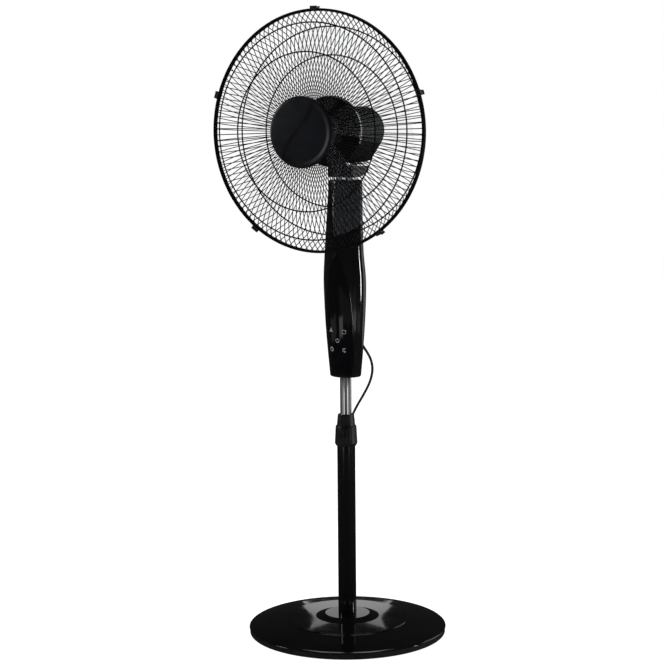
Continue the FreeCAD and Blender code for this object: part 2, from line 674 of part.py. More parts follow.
def motor_bells():
    """Cast end shields that hold the bearings and the core."""
    bell = lathe_y([(8, -42), (13, -42, 1.5), (14, -38, 1), (BELL_R, -38, 3), (BELL_R, 0), (CORE_R, 0),
                    (CORE_R, -36, 2), (13, -36), (12, -30), (8, -30)])
    for i in range(6):
        window = rod(6, head(26, -50, 0), head(26, -33, 0))
        bell = bell.cut(about_fan(window, 60 * i))
    for x, z in boss_places():
        bell = bell.cut(rod(SCREW_R, head(x, -50, z), head(x, -33, z)))
    rear = bell.mirror(V(0, 0, HEAD_Z), V(0, 1, 0))
    return Part.makeCompound([bell, rear])


def motor_bushes():
    bushes = [pipe(8, SHAFT_R + FIT, head(0, y, 0), head(0, y + 12, 0)) for y in (-42, 30)]
    return Part.makeCompound(bushes)


def motor_screws():
    reach = V(0, 21, 0)
    starts = [head(x, PLATE_Y, z) for x, z in boss_places()]
    return Part.makeCompound([rod(SCREW_R, start, start + reach) for start in starts])


def swing_motor():
    """Small synchronous motor that turns the swing crank."""
    body = rod(SWING_MOTOR_R, V(0, CRANK_Y, 920), V(0, CRANK_Y, 932))
    tabs = block(-21, 21, CRANK_Y - 3.5, CRANK_Y + 3.5, 930, 932)
    return fuse(body, tabs).cut(rod(2.5 + FIT, V(0, CRANK_Y, 915), V(0, CRANK_Y, 929)))


def rotor_core():
    return lathe_y([(SHAFT_R, -15), (12, -16), (ROTOR_R, -14, 1), (ROTOR_R, 14, 1), (12, 16), (SHAFT_R, 15)])


SHAFT_FRONT_Y = -128.0


def motor_shaft():
    """Shaft with the cross pin that drives the blade."""
    shaft = rod(SHAFT_R, head(0, SHAFT_FRONT_Y, 0), head(0, 46, 0))
    return fuse(shaft, rod(1.5, head(-9, -80, 0), head(9, -80, 0)))


# ---- blade ----
BLADE_T = 2.0
HUB_FRONT_Y = -116.0
HUB_BACK_Y = -78.0
BLADE_HUB_R = 30.0
# radius, half chord, pitch angle in degrees and lean of the middle about the fan axis
BLADE_STATIONS = ((26.0, 17.0, 38.0, 0.0), (70.0, 34.0, 31.0, 5.0), (125.0, 53.0, 24.0, 9.0),
                  (197.0, 62.0, 17.0, 13.0))
BLADE_MID_Y = -95.0


def blade_section(radius, half, pitch, lean):
    """Thin curved section across a blade, square to its length."""
    tilt = math.radians(pitch)
    along = V(math.cos(tilt), math.sin(tilt), 0)
    across = V(-math.sin(tilt), math.cos(tilt), 0)
    sag = half * 0.14
    middle = V(0, BLADE_MID_Y, HEAD_Z + radius)
    front = [middle - along * half, middle - across * sag, middle + along * half]
    back = [p + across * BLADE_T for p in front]
    edges = [Part.Arc(*front).toShape(), Part.LineSegment(front[2], back[2]).toShape(),
             Part.Arc(back[2], back[1], back[0]).toShape(), Part.LineSegment(back[0], front[0]).toShape()]
    wire = Part.Wire(edges)
    wire.rotate(V(0, 0, HEAD_Z), V(0, 1, 0), lean)
    return wire


def fan_blade():
    hub = lathe_y([(SHAFT_R + FIT, HUB_FRONT_Y), (BLADE_HUB_R - 3, HUB_FRONT_Y, 2), (BLADE_HUB_R, HUB_BACK_Y),
                   (BLADE_HUB_R - 2.5, HUB_BACK_Y), (BLADE_HUB_R - 5.5, HUB_FRONT_Y + 3), (11, HUB_FRONT_Y + 3),
                   (11, HUB_BACK_Y), (SHAFT_R + FIT, HUB_BACK_Y)])
    hub = hub.cut(block(-12, 12, -84, HUB_BACK_Y + 1, HEAD_Z - 1.6, HEAD_Z + 1.6))
    blade = Part.makeLoft([blade_section(*station) for station in BLADE_STATIONS], True, False)
    front, back = head(0, -140, 0), head(0, -50, 0)
    trim = rod(BLADE_R, front, back).cut(rod(BLADE_HUB_R - 1.2, front, back))
    blade = blade.common(trim)
    blades = [about_fan(blade, 360 * i / BLADES) for i in range(BLADES)]
    return fuse(hub, *blades)


def blade_spinner():
    """Left-hand nut that holds the blade on its shaft."""
    nut = lathe_y([(SHAFT_R, HUB_FRONT_Y), (15, HUB_FRONT_Y, 0.8), (13, -124, 1), (9, -133, 3), (0, -134.5),
                   (0, SHAFT_FRONT_Y), (SHAFT_R, SHAFT_FRONT_Y)])
    for i in range(6):
        nut = nut.cut(about_fan(rod(3.0, head(15.4, -140, 0), head(15.4, HUB_FRONT_Y - 2.5, 0)), 60 * i))
    return nut


# ---- guard ----
RIM_MID = CAGE_R - RIM_WIRE_R
FRONT_RIM_Y = RIM_Y - RIM_WIRE_R - 0.1
REAR_RIM_Y = RIM_Y + RIM_WIRE_R + 0.1
FRONT_PLATE_Y = -156.0
REAR_PLATE_Y = -58.0
PLATE_T = 1.6
# (radius, y, bend radius) along one spoke, from the hub plate to the rim wire
FRONT_SPOKE = ((54.0, -156.0), (70.0, -156.0, 60.0), (152.0, -146.5, 160.0), (203.0, -124.5, 25.0),
               (RIM_MID, FRONT_RIM_Y))
REAR_SPOKE = ((59.0, -58.0), (74.0, -58.0, 30.0), (128.0, -52.5, 200.0), (194.0, -54.5, 16.0), (RIM_MID, REAR_RIM_Y))
SEAT = 0.05             # gap left between a ring and the spokes it is welded to


def spoke_path(points):
    """Straight runs joined by arcs, stopping short of the rim wire."""
    spots = [head(0, y, r) for r, y, *_ in points]
    last = spots[-1] - spots[-2]
    spots[-1] = spots[-1] - last.normalize() * (RIM_WIRE_R + SEAT)
    edges = []
    here = spots[0]
    for i in range(1, len(spots) - 1):
        back = (spots[i - 1] - spots[i]).normalize()
        ahead = (spots[i + 1] - spots[i]).normalize()
        radius = points[i][2]
        half = back.getAngle(ahead) / 2
        reach = radius / math.tan(half)
        inward = (back + ahead).normalize()
        top = spots[i] + inward * (radius / math.sin(half) - radius)
        start = spots[i] + back * reach
        end = spots[i] + ahead * reach
        edges.append(Part.LineSegment(here, start).toShape())
        edges.append(Part.Arc(start, top, end).toShape())
        here = end
    edges.append(Part.LineSegment(here, spots[-1]).toShape())
    return Part.Wire(edges)


def spoke_height(path, radius):
    """Y of the spoke's middle line at a distance from the fan axis."""
    plane = Part.makePlane(400, 400, head(-200, -250, radius), UP)
    return path.distToShape(plane)[1][0][0].y


def ring_height(path, radius, side):
    """Y of a ring that rests on the spokes' sloping side."""
    slope = (spoke_height(path, radius + 1) - spoke_height(path, radius - 1)) / 2
    clear = SPOKE_R + GUARD_RING_R + SEAT
    return spoke_height(path, radius) + side * clear * math.hypot(1, slope)


def spokes(points):
    path = spoke_path(points)
    section = Part.Wire([Part.Circle(head(0, points[0][1], points[0][0]), UP, SPOKE_R).toShape()])
    wire = path.makePipeShell([section], True, False)
    return path, [about_fan(wire, 360 * (i + 0.5) / SPOKES) for i in range(SPOKES)]


def hoop(radius, y, wire_r):
    return Part.makeTorus(radius, wire_r, head(0, y, 0), V(0, 1, 0))


def guard(points, plate, ring_radii, rim_y, side):
    """Spokes welded to a hub plate, with their rings and rim wire as separate solids."""
    path, wires = spokes(points)
    body = plate.multiFuse(wires)
    rings = [hoop(radius, ring_height(path, radius, side), GUARD_RING_R) for radius in ring_radii]
    rings.append(hoop(RIM_MID, rim_y, RIM_WIRE_R))
    return Part.makeCompound(body.Solids + rings)


def rear_grille():
    plate = lathe_y([(SNOUT_R + 0.1, REAR_PLATE_Y - PLATE_T / 2), (63.5, REAR_PLATE_Y - PLATE_T / 2),
                     (63.5, REAR_PLATE_Y + PLATE_T / 2), (SNOUT_R + 0.1, REAR_PLATE_Y + PLATE_T / 2)])
    return guard(REAR_SPOKE, plate, (140.0, 192.0), REAR_RIM_Y, 1)


def front_grille():
    plate = lathe_y([(0, FRONT_PLATE_Y - PLATE_T / 2), (58.5, FRONT_PLATE_Y - PLATE_T / 2),
                     (58.5, FRONT_PLATE_Y + PLATE_T / 2), (0, FRONT_PLATE_Y + PLATE_T / 2)])
    return guard(FRONT_SPOKE, plate, (144.0, 197.0), FRONT_RIM_Y, 1)


def grille_nut():
    """Ring nut that clamps the rear guard to the motor."""
    nut = lathe_y([(SNOUT_R, -59.0), (31, -59.0, 1), (29, -68, 2), (SNOUT_R, -68)])
    wings = [about_fan(block(-3, 3, -67, -60, HEAD_Z + 27, HEAD_Z + 35), 60 * i) for i in range(6)]
    return fuse(nut, *wings).cut(rod(SNOUT_R, head(0, -80, 0), head(0, -50, 0)))


def front_badge():
    """Cap on the middle of the front guard."""
    return lathe_y([(0, -165.2), (40, -164.4, 150), (HUB_R - 2.5, -161.6, 3), (HUB_R, -159.4, 1), (HUB_R, BADGE_BACK_Y),
                    (HUB_R - 3, BADGE_BACK_Y), (HUB_R - 3.6, -159.0, 0.6), (40, -162.0), (0, -162.8)])


# ---- rim clips: levers that hook over the rear rim wire ----
CLIP_PIVOT_R = 225.0
CLIP_PIVOT_Y = -109.4
CLIP_HALF = 4.2         # half-width of the lever
CLIP_EAR = 6.6          # outer face of the mount's ears
CLIP_PIN_R = 1.0
EYE_OUT = 1.9           # lever's eye, from the pin's middle


def clip_lever():
    """Lever at the top of the rim, outline in (y, radius)."""
    front = CLIP_PIVOT_Y - EYE_OUT
    outline = [(front, CLIP_PIVOT_R - EYE_OUT, 1.8), (front, CLIP_PIVOT_R + EYE_OUT, 1.8),
               (-104.0, 226.6, 3.0), (-97.0, 225.2, 2.0), (-93.4, 226.7, 0.6), (-92.6, 225.4, 0.5),
               (-95.8, 222.7, 1.0), (-96.2, 219.4, 0.6), (-97.8, 219.4, 0.4), (-97.8, 222.95, 0.4),
               (-105.2, 222.95, 0.5), (-106.4, CLIP_PIVOT_R - EYE_OUT)]
    lever = prism_x([(y, HEAD_Z + r, *rest) for y, r, *rest in outline], -CLIP_HALF, CLIP_HALF)
    pivot = HEAD_Z + CLIP_PIVOT_R
    return lever.cut(rod(CLIP_PIN_R + FIT, V(-20, CLIP_PIVOT_Y, pivot), V(20, CLIP_PIVOT_Y, pivot)))


def clip_mount():
    """Saddle on the front rim wire with two ears for the lever's pin."""
    front = CLIP_PIVOT_Y - 2.2
    low = 219.5
    top = CLIP_PIVOT_R + EYE_OUT - 0.1
    outline = [(front, low), (front, top, 1.5), (CLIP_PIVOT_Y + 2.2, top, 1.5), (CLIP_PIVOT_Y + 2.6, low)]
    sides = ((-CLIP_EAR, -CLIP_HALF - 0.3), (CLIP_HALF + 0.3, CLIP_EAR))
    ears = [prism_x([(y, HEAD_Z + r, *rest) for y, r, *rest in outline], x0, x1) for x0, x1 in sides]
    bridge = block(-CLIP_EAR, CLIP_EAR, front, FRONT_RIM_Y, HEAD_Z + low, HEAD_Z + 222.7)
    mount = fuse(bridge, *ears)
    mount = mount.cut(hoop(RIM_MID, FRONT_RIM_Y, RIM_WIRE_R))
    pivot = HEAD_Z + CLIP_PIVOT_R
    return mount.cut(rod(CLIP_PIN_R, V(-20, CLIP_PIVOT_Y, pivot), V(20, CLIP_PIVOT_Y, pivot)))


def round_rim(shape):
    return [about_fan(shape, 360 * i / CLIPS) for i in range(CLIPS)]


def clip_pins():
    pivot = HEAD_Z + CLIP_PIVOT_R
    pin = rod(CLIP_PIN_R, V(-CLIP_EAR, CLIP_PIVOT_Y, pivot), V(CLIP_EAR, CLIP_PIVOT_Y, pivot))
    return Part.makeCompound(round_rim(pin))


# ---- cord: leaves the back of the column, hangs to the floor behind the base ----
def behind(distance, z, side=0.0):
    """Point on the line behind the pole, side being to the right as seen from the front."""
    along = VIEW_BACK * distance
    across = V(-VIEW_BACK.y, VIEW_BACK.x, 0) * -side
    return V(along.x + across.x, along.y + across.y, z)


HANK_NEAR = 262.0       # distances behind the pole axis
HANK_FAR = 354.0
HANK_W = 35.0
HANK_H = 25.5
CORD_ROUTE = (
    CORD_EXIT,
    V(0, 71.6, 549),
    V(0, 90, 533),
    V(-1, 107, 516),
    V(-5, 119, 494),
    V(-15, 125, 469),
    V(-30, 125, 443),
    V(-46, 120, 415),
    V(-59, 115, 382),
    V(-66, 113, 344),
    V(-67, 116, 300),
    V(-69, 122, 252),
    V(-72, 129, 205),
    V(-77, 139, 159),
    V(-85, 152, 115),
    V(-94, 170, 75),
    V(-103, 190, 39),
    V(-112, 213, 12),
    behind(HANK_NEAR - 1.6, 3.2, 11),
)


def cord_tube(points, radius):
    """Straight runs joined by arcs of 0.45 of the shorter run over the tangent of half the turn."""
    edges = []
    radii = []
    here = points[0]
    for i in range(1, len(points) - 1):
        back = points[i - 1] - points[i]
        ahead = points[i + 1] - points[i]
        reach = 0.45 * min(back.Length, ahead.Length)
        back.normalize()
        ahead.normalize()
        half = back.getAngle(ahead) / 2
        arc_radius = reach * math.tan(half)
        top = points[i] + (back + ahead).normalize() * (arc_radius / math.sin(half) - arc_radius)
        start = points[i] + back * reach
        end = points[i] + ahead * reach
        edges.append(Part.LineSegment(here, start).toShape())
        edges.append(Part.Arc(start, top, end).toShape())
        radii.append(round(arc_radius, 1))
        here = end
    edges.append(Part.LineSegment(here, points[-1]).toShape())
    path = Part.Wire(edges)
    direction = points[1] - points[0]
    section = Part.Wire([Part.Circle(points[0], direction, radius).toShape()])
    tube = path.makePipeShell([section], True, False)
    print("cord radii", radii)
    print("cord runs", [round((b - a).Length, 1) for a, b in zip(points, points[1:])])
    print("cord length", round(path.Length, 1), "volume ratio",
          round(tube.Volume / (math.pi * radius ** 2 * path.Length), 4))
    return tube


def laid_box(near, far, width, low, high, corner):
    """Rounded box lying behind the base, its length pointing away from the pole."""
    outline = prism_z([(-width / 2, near, corner), (width / 2, near, corner), (width / 2, far, corner),
                       (-width / 2, far, corner)], low, high)
    angle = math.degrees(math.atan2(VIEW_BACK.y, VIEW_BACK.x)) - 90
    outline.rotate(V(0, 0, 0), UP, angle)
    return outline


def cord_hank():
    """Spare cord folded in a hank."""
    return laid_box(HANK_NEAR, HANK_FAR, HANK_W, 0.0, HANK_H, 4.0)


def mains_plug():
    """Flat two-pin plug lying on the hank, pins pointing away from the fan."""
    body = laid_box(HANK_NEAR + 50, HANK_NEAR + 84, 25.0, HANK_H, HANK_H + 13.0, 0.9)
    pins = []
    for side in (-9.5, 9.5):
        start = behind(HANK_NEAR + 84, HANK_H + 6.5, side)
        end = behind(HANK_NEAR + 103, HANK_H + 6.5, side * 0.93)
        pins.append(rod(2.0, start, end))
    return fuse(body, *pins)


# ---- build every node ----
shell = column_shell()
levers = round_rim(clip_lever())

save("base_feet", base_feet())
save("base_tray", base_tray())
save("base_weight", base_weight())
save("base_cover", base_cover())
save("base_screws", base_screws())
save("pole_socket", pole_socket())
save("pole_bolt", pole_bolt())
save("pole_washer", pole_washer())
save("pole_plug", pole_plug())
save("lower_pole", lower_pole())
save("collet_sleeve", collet_sleeve())
save("height_collar", height_collar())
save("upper_tube", upper_tube())
save("tube_end_stop", tube_end_stop())
save("tube_socket", tube_socket())
save("column_frame", column_frame())
save("column_front", column_front(shell))
save("column_rear", column_rear(shell))
save("column_screws", column_screws())
save("control_panel", control_panel())
save("control_board", control_board())
save("run_capacitor", run_capacitor())
save("strain_relief", strain_relief())
save("tilt_bolt", tilt_bolt())
save("tilt_nut", tilt_nut())
save("neck_tongue", neck_tongue())
save("neck_housing", neck_housing())
save("swivel_bush", swivel_bush())
save("swing_crank", swing_crank())
save("swing_link", swing_link())
save("swivel_stem", swivel_stem())
save("motor_front_cover", motor_front_cover())
save("motor_trim_ring", motor_trim_ring())
save("motor_rear_cover", motor_rear_cover())
save("stator_core", stator_core())
save("stator_windings", stator_windings())
save("motor_bells", motor_bells())
save("motor_bushes", motor_bushes())
save("motor_screws", motor_screws())
save("swing_motor", swing_motor())
save("rotor_core", rotor_core())
save("motor_shaft", motor_shaft())
save("fan_blade", fan_blade())
save("blade_spinner", blade_spinner())
save("rear_grille", rear_grille())
save("front_grille", front_grille())
save("grille_nut", grille_nut())
save("front_badge", front_badge())
save("rim_clip_mounts", Part.makeCompound(round_rim(clip_mount())))
save("clip_pins", clip_pins())
for number, lever in enumerate(levers, 1):
    save("rim_clip_%d" % number, lever)
save("power_cord", cord_tube(CORD_ROUTE, CORD_R))
save("cord_hank", cord_hank())
save("mains_plug", mains_plug())
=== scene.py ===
import json
import math

import bmesh
import bpy
from mathutils import Matrix, Vector


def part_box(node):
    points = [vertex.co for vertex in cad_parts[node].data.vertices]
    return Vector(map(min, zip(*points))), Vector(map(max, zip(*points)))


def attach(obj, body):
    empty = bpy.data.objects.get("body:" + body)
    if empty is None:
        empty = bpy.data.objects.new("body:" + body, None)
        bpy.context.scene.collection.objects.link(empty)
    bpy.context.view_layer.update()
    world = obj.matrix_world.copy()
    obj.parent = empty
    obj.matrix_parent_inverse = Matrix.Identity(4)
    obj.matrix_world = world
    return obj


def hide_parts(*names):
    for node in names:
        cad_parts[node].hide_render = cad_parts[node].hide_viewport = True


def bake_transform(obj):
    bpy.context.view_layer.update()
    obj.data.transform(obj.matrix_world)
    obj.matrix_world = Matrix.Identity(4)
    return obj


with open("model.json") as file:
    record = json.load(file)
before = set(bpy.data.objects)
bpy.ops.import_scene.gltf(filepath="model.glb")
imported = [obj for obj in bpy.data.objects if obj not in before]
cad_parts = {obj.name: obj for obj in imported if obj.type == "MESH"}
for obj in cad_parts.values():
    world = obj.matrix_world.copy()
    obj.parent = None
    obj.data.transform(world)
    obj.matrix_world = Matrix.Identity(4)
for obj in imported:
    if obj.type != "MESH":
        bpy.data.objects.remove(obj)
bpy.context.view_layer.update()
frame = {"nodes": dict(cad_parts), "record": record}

MM = 0.001
NODES = frame["nodes"]
scene = bpy.context.scene

# ---------------------------------------------------------------- sizes from the frame
guard_low, guard_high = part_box("front_grille")
rear_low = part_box("rear_grille")[0]
badge_low, badge_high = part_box("front_badge")
pole_low, pole_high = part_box("lower_pole")
tube_low, tube_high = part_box("upper_tube")

CAGE_R = guard_high.x
HEAD_Z = (guard_low.z + guard_high.z) / 2
HUB_R = badge_high.x
BADGE_FRONT = badge_low.y
BADGE_BACK = badge_high.y
POLE_R = pole_high.x
POLE_TOP = pole_high.z
TUBE_R = tube_high.x
COLUMN_BOTTOM = 0.501
COLUMN_TOP = 0.875


# ---------------------------------------------------------------- camera
CAMERA_AWAY = 3.32          # from the pole, level
CAMERA_HEIGHT = 1.0148
CAMERA_AZIMUTH = math.radians(29.15)
CAMERA_PAN = math.radians(0.439)
CAMERA_DOWN = math.radians(7.36)
CAMERA_ROLL = math.radians(-0.49)
CAMERA_LENS = 95.18


def make_camera():
    data = bpy.data.cameras.new("camera")
    data.lens = CAMERA_LENS
    data.sensor_width = 36
    data.clip_end = 100
    camera = bpy.data.objects.new("camera", data)
    camera.location = (CAMERA_AWAY * math.sin(CAMERA_AZIMUTH), -CAMERA_AWAY * math.cos(CAMERA_AZIMUTH),
                       CAMERA_HEIGHT)
    turn = CAMERA_AZIMUTH + CAMERA_PAN
    forward = Vector((-math.sin(turn) * math.cos(CAMERA_DOWN), math.cos(turn) * math.cos(CAMERA_DOWN),
                      -math.sin(CAMERA_DOWN)))
    right = Vector((math.cos(turn), math.sin(turn), 0))
    up = right.cross(forward)
    side = right * math.cos(CAMERA_ROLL) + up * math.sin(CAMERA_ROLL)
    top = up * math.cos(CAMERA_ROLL) - right * math.sin(CAMERA_ROLL)
    camera.rotation_euler = Matrix((side, top, -forward)).transposed().to_euler()
    scene.collection.objects.link(camera)
    scene.camera = camera


make_camera()


# ---------------------------------------------------------------- materials
class Shader:
    """One node material with its Principled shader; coordinates are the object's own, in metres."""

    def __init__(self, name, color, roughness, metallic=0.0, **sockets):
        self.material = bpy.data.materials.new(name)
        self.material.use_nodes = True
        self.tree = self.material.node_tree
        self.surface = self.tree.nodes["Principled BSDF"]
        self.set("Base Color", (*color, 1))
        self.set("Roughness", roughness)
        self.set("Metallic", metallic)
        for socket, value in sockets.items():
            self.set(socket.replace("_", " "), value)
        self.place = self.tree.nodes.new("ShaderNodeTexCoord").outputs["Object"]
        self.bumps = []

    def set(self, socket, value):
        self.surface.inputs[socket].default_value = value

    def node(self, kind, **values):
        made = self.tree.nodes.new(kind)
        for name, value in values.items():
            made.inputs[name.replace("_", " ")].default_value = value
        return made

    def link(self, start, end):
        self.tree.links.new(start, end)

    def noise(self, scale, detail=2.0, roughness=0.5, stretch=None):
        made = self.node("ShaderNodeTexNoise", Scale=scale, Detail=detail, Roughness=roughness)
        start = self.place
        if stretch:
            mapping = self.node("ShaderNodeMapping")
            mapping.inputs["Scale"].default_value = stretch
            self.link(start, mapping.inputs["Vector"])
            start = mapping.outputs["Vector"]
        self.link(start, made.inputs["Vector"])
        return made.outputs["Fac"]

    def cells(self, scale):
        made = self.node("ShaderNodeTexVoronoi", Scale=scale)
        self.link(self.place, made.inputs["Vector"])
        return made.outputs["Distance"]

    def spread(self, source, low, high, start=0.0, end=1.0):
        """The source's range from start to end, as low to high."""
        made = self.node("ShaderNodeMapRange", From_Min=start, From_Max=end, To_Min=low, To_Max=high)
        self.link(source, made.inputs["Value"])
        return made.outputs["Result"]

    def rough(self, source, low, high, start=0.3, end=0.7):
        self.link(self.spread(source, low, high, start, end), self.surface.inputs["Roughness"])

    def color(self, source, first, second, start=0.35, end=0.65):
        ramp = self.tree.nodes.new("ShaderNodeValToRGB")
        ramp.color_ramp.elements[0].position = start
        ramp.color_ramp.elements[1].position = end
        ramp.color_ramp.elements[0].color = (*first, 1)
        ramp.color_ramp.elements[1].color = (*second, 1)
        self.link(source, ramp.inputs["Fac"])
        self.link(ramp.outputs["Color"], self.surface.inputs["Base Color"])

    def bump(self, source, depth, strength=1.0):
        """Raises the surface by up to depth, in metres."""
        made = self.node("ShaderNodeBump", Strength=strength, Distance=depth)
        self.link(source, made.inputs["Height"])
        if self.bumps:
            self.link(self.bumps[-1].outputs["Normal"], made.inputs["Normal"])
        self.bumps.append(made)
        self.link(made.outputs["Normal"], self.surface.inputs["Normal"])


def gloss_black():
    """High-gloss moulded plastic: faint flow in the surface, fine dust and finger marks in the gloss."""
    m = Shader("gloss_black", (0.006, 0.006, 0.007), 0.06, IOR=1.52)
    m.color(m.noise(9, 4), (0.0045, 0.0045, 0.0055), (0.0085, 0.0082, 0.0088))
    m.rough(m.noise(38, 6, 0.65), 0.035, 0.10)
    m.bump(m.noise(22, 1), 0.00010, 0.25)
    return m.material


def panel_gloss():
    m = Shader("panel_gloss", (0.003, 0.003, 0.004), 0.03, IOR=1.49)
    m.color(m.noise(14, 3), (0.0022, 0.0022, 0.003), (0.0042, 0.004, 0.005))
    m.rough(m.noise(46, 6, 0.7), 0.02, 0.07)
    m.bump(m.noise(16, 1), 0.00006, 0.2)
    return m.material


def matte_black():
    """Spark-eroded grain of moulded plastic."""
    m = Shader("matte_black", (0.008, 0.008, 0.009), 0.42, IOR=1.45)
    m.color(m.noise(60, 4), (0.006, 0.006, 0.007), (0.011, 0.011, 0.012))
    m.rough(m.noise(240, 3), 0.34, 0.50)
    m.bump(m.noise(2400, 2), 0.00004, 0.7)
    return m.material


def badge_black():
    """Satin blue-black plastic."""
    m = Shader("badge_black", (0.006, 0.0068, 0.0105), 0.34, IOR=1.4)
    m.color(m.noise(18, 3), (0.0050, 0.0056, 0.0088), (0.0070, 0.0078, 0.0116))
    m.rough(m.noise(60, 3), 0.30, 0.38)
    m.bump(m.noise(400, 1), 0.00001, 0.15)
    return m.material


def black_enamel():
    m = Shader("black_enamel", (0.005, 0.005, 0.0055), 0.1, IOR=1.5)
    m.color(m.noise(6, 3, 0.5, (1, 1, 0.2)), (0.0038, 0.0038, 0.0042), (0.0068, 0.0066, 0.007))
    m.rough(m.noise(30, 5, 0.6, (1, 1, 0.25)), 0.06, 0.16)
    m.bump(m.noise(420, 2), 0.00003, 0.35)
    return m.material


def black_wire():
    """Powder coat on wire."""
    m = Shader("black_wire", (0.004, 0.004, 0.0045), 0.4, IOR=1.16)
    m.color(m.noise(90, 3), (0.003, 0.003, 0.0034), (0.005, 0.005, 0.0055))
    m.rough(m.noise(320, 3), 0.32, 0.48)
    m.bump(m.noise(1300, 2), 0.00004, 0.6)
    return m.material


def chrome():
    """Bright plate, with the faint lines of the drawn tube under it."""
    m = Shader("chrome", (0.72, 0.725, 0.74), 0.06, metallic=1.0)
    m.color(m.noise(12, 4, 0.5, (1, 1, 0.15)), (0.64, 0.645, 0.66), (0.78, 0.785, 0.80))
    m.rough(m.noise(260, 4, 0.6, (1, 1, 0.02)), 0.03, 0.12)
    m.bump(m.noise(900, 2, 0.5, (1, 1, 0.01)), 0.000012, 0.4)
    return m.material


def metal(name, light, dark, low, high, grain=160, stretch=None):
    m = Shader(name, light, low, metallic=1.0)
    m.color(m.noise(grain / 4, 5, 0.6, stretch), dark, light)
    m.rough(m.noise(grain, 5, 0.6, stretch), low, high)
    m.bump(m.noise(grain * 6, 3, 0.5, stretch), 0.00003, 0.5)
    return m.material


def rubber(name, first, second, low=0.55, high=0.75):
    m = Shader(name, first, low, IOR=1.48)
    m.color(m.noise(70, 4), first, second)
    m.rough(m.noise(180, 4), low, high)
    m.bump(m.noise(1500, 3), 0.00005, 0.8)
    return m.material


def copper():
    """Lacquered wire wound round the core's ends."""
    m = Shader("copper", (0.72, 0.33, 0.14), 0.28, metallic=1.0, Coat_Weight=0.5)
    wave = m.node("ShaderNodeTexWave", Scale=220.0, Distortion=2.0, Detail=2.0)
    m.link(m.place, wave.inputs["Vector"])
    m.color(wave.outputs["Fac"], (0.30, 0.11, 0.04), (0.80, 0.40, 0.18), 0.2, 0.8)
    m.rough(m.noise(300, 3), 0.2, 0.4)
    m.bump(wave.outputs["Fac"], 0.0002, 0.8)
    return m.material


def nylon():
    m = Shader("nylon", (0.78, 0.76, 0.70), 0.4, IOR=1.53, Subsurface_Weight=0.15)
    m.surface.inputs["Subsurface Radius"].default_value = (0.002, 0.0018, 0.0014)
    m.color(m.noise(80, 4), (0.70, 0.68, 0.62), (0.82, 0.80, 0.74))
    m.rough(m.noise(300, 3), 0.34, 0.5)
    m.bump(m.noise(1200, 2), 0.00004, 0.5)
    return m.material


def circuit_board():
    m = Shader("circuit_board", (0.02, 0.14, 0.05), 0.35)
    m.color(m.cells(420), (0.012, 0.09, 0.03), (0.03, 0.19, 0.07), 0.2, 0.6)
    m.rough(m.noise(200, 3), 0.25, 0.45)
    m.bump(m.cells(420), 0.00005, 0.5)
    return m.material


def capacitor_case():
    m = Shader("capacitor_case", (0.62, 0.60, 0.55), 0.3)
    m.color(m.noise(50, 4), (0.56, 0.54, 0.49), (0.68, 0.66, 0.61))
    m.rough(m.noise(160, 4), 0.25, 0.4)
    m.bump(m.noise(700, 2), 0.00004, 0.5)
    return m.material


def clear_blade():
    """Clear plastic, faintly smoked, with moulding flow lines."""
    m = Shader("clear_blade", (0.30, 0.32, 0.34), 0.05, IOR=1.45, Alpha=0.05)
    m.color(m.noise(10, 4), (0.26, 0.28, 0.30), (0.34, 0.36, 0.38))
    m.rough(m.noise(40, 4), 0.04, 0.10)
    m.bump(m.noise(14, 2), 0.0002, 0.2)
    return m.material


def icon_print():
    m = Shader("icon_print", (0.55, 0.58, 0.62), 0.5)
    m.color(m.noise(900, 3), (0.46, 0.49, 0.53), (0.66, 0.69, 0.73))
    m.rough(m.noise(1200, 2), 0.4, 0.6)
    m.bump(m.noise(2600, 2), 0.00002, 0.5)
    return m.material


MATERIALS = {
    "gloss_black": gloss_black(),
    "matte_black": matte_black(),
    "panel_gloss": panel_gloss(),
    "badge_black": badge_black(),
    "black_enamel": black_enamel(),
    "black_wire": black_wire(),
    "chrome": chrome(),
    "steel": metal("steel", (0.60, 0.60, 0.61), (0.42, 0.42, 0.43), 0.22, 0.42),
    "aluminium": metal("aluminium", (0.70, 0.71, 0.72), (0.52, 0.53, 0.54), 0.35, 0.55, 300),
    "bronze": metal("bronze", (0.55, 0.36, 0.17), (0.38, 0.24, 0.11), 0.3, 0.5, 500),
    "copper": copper(),
    "rubber": rubber("rubber", (0.012, 0.012, 0.012), (0.024, 0.024, 0.024)),
    "cord_sheath": rubber("cord_sheath", (0.011, 0.011, 0.012), (0.02, 0.02, 0.021), 0.35, 0.5),
    "plug_body": rubber("plug_body", (0.012, 0.012, 0.013), (0.02, 0.02, 0.021), 0.4, 0.55),
    "nylon": nylon(),
    "circuit_board": circuit_board(),
    "capacitor_case": capacitor_case(),
    "clear_blade": clear_blade(),
}
ICON_PRINT = icon_print()


def satin_black():
    """Spark-eroded plastic of the motor's cover, greyer than the rest."""
    m = Shader("satin_black", (0.007, 0.007, 0.0075), 0.5, IOR=1.3)
    m.color(m.noise(40, 4), (0.006, 0.006, 0.0063), (0.0085, 0.0085, 0.009))
    m.rough(m.noise(240, 3), 0.38, 0.52)
    m.bump(m.noise(1500, 2), 0.00003, 0.6)
    return m.material


OWN_FINISH = {"motor_rear_cover": satin_black()}


def paint_frame():
    """Every node of the frame takes its own finish or the material of its slot."""
    for part in frame["record"]["subparts"]:
        node = NODES[part["node"]]
        node.data.materials.clear()
        node.data.materials.append(OWN_FINISH.get(part["node"]) or MATERIALS[part["material_slot"]])


paint_frame()


# ---------------------------------------------------------------- mesh helpers
SHARP = math.radians(32)


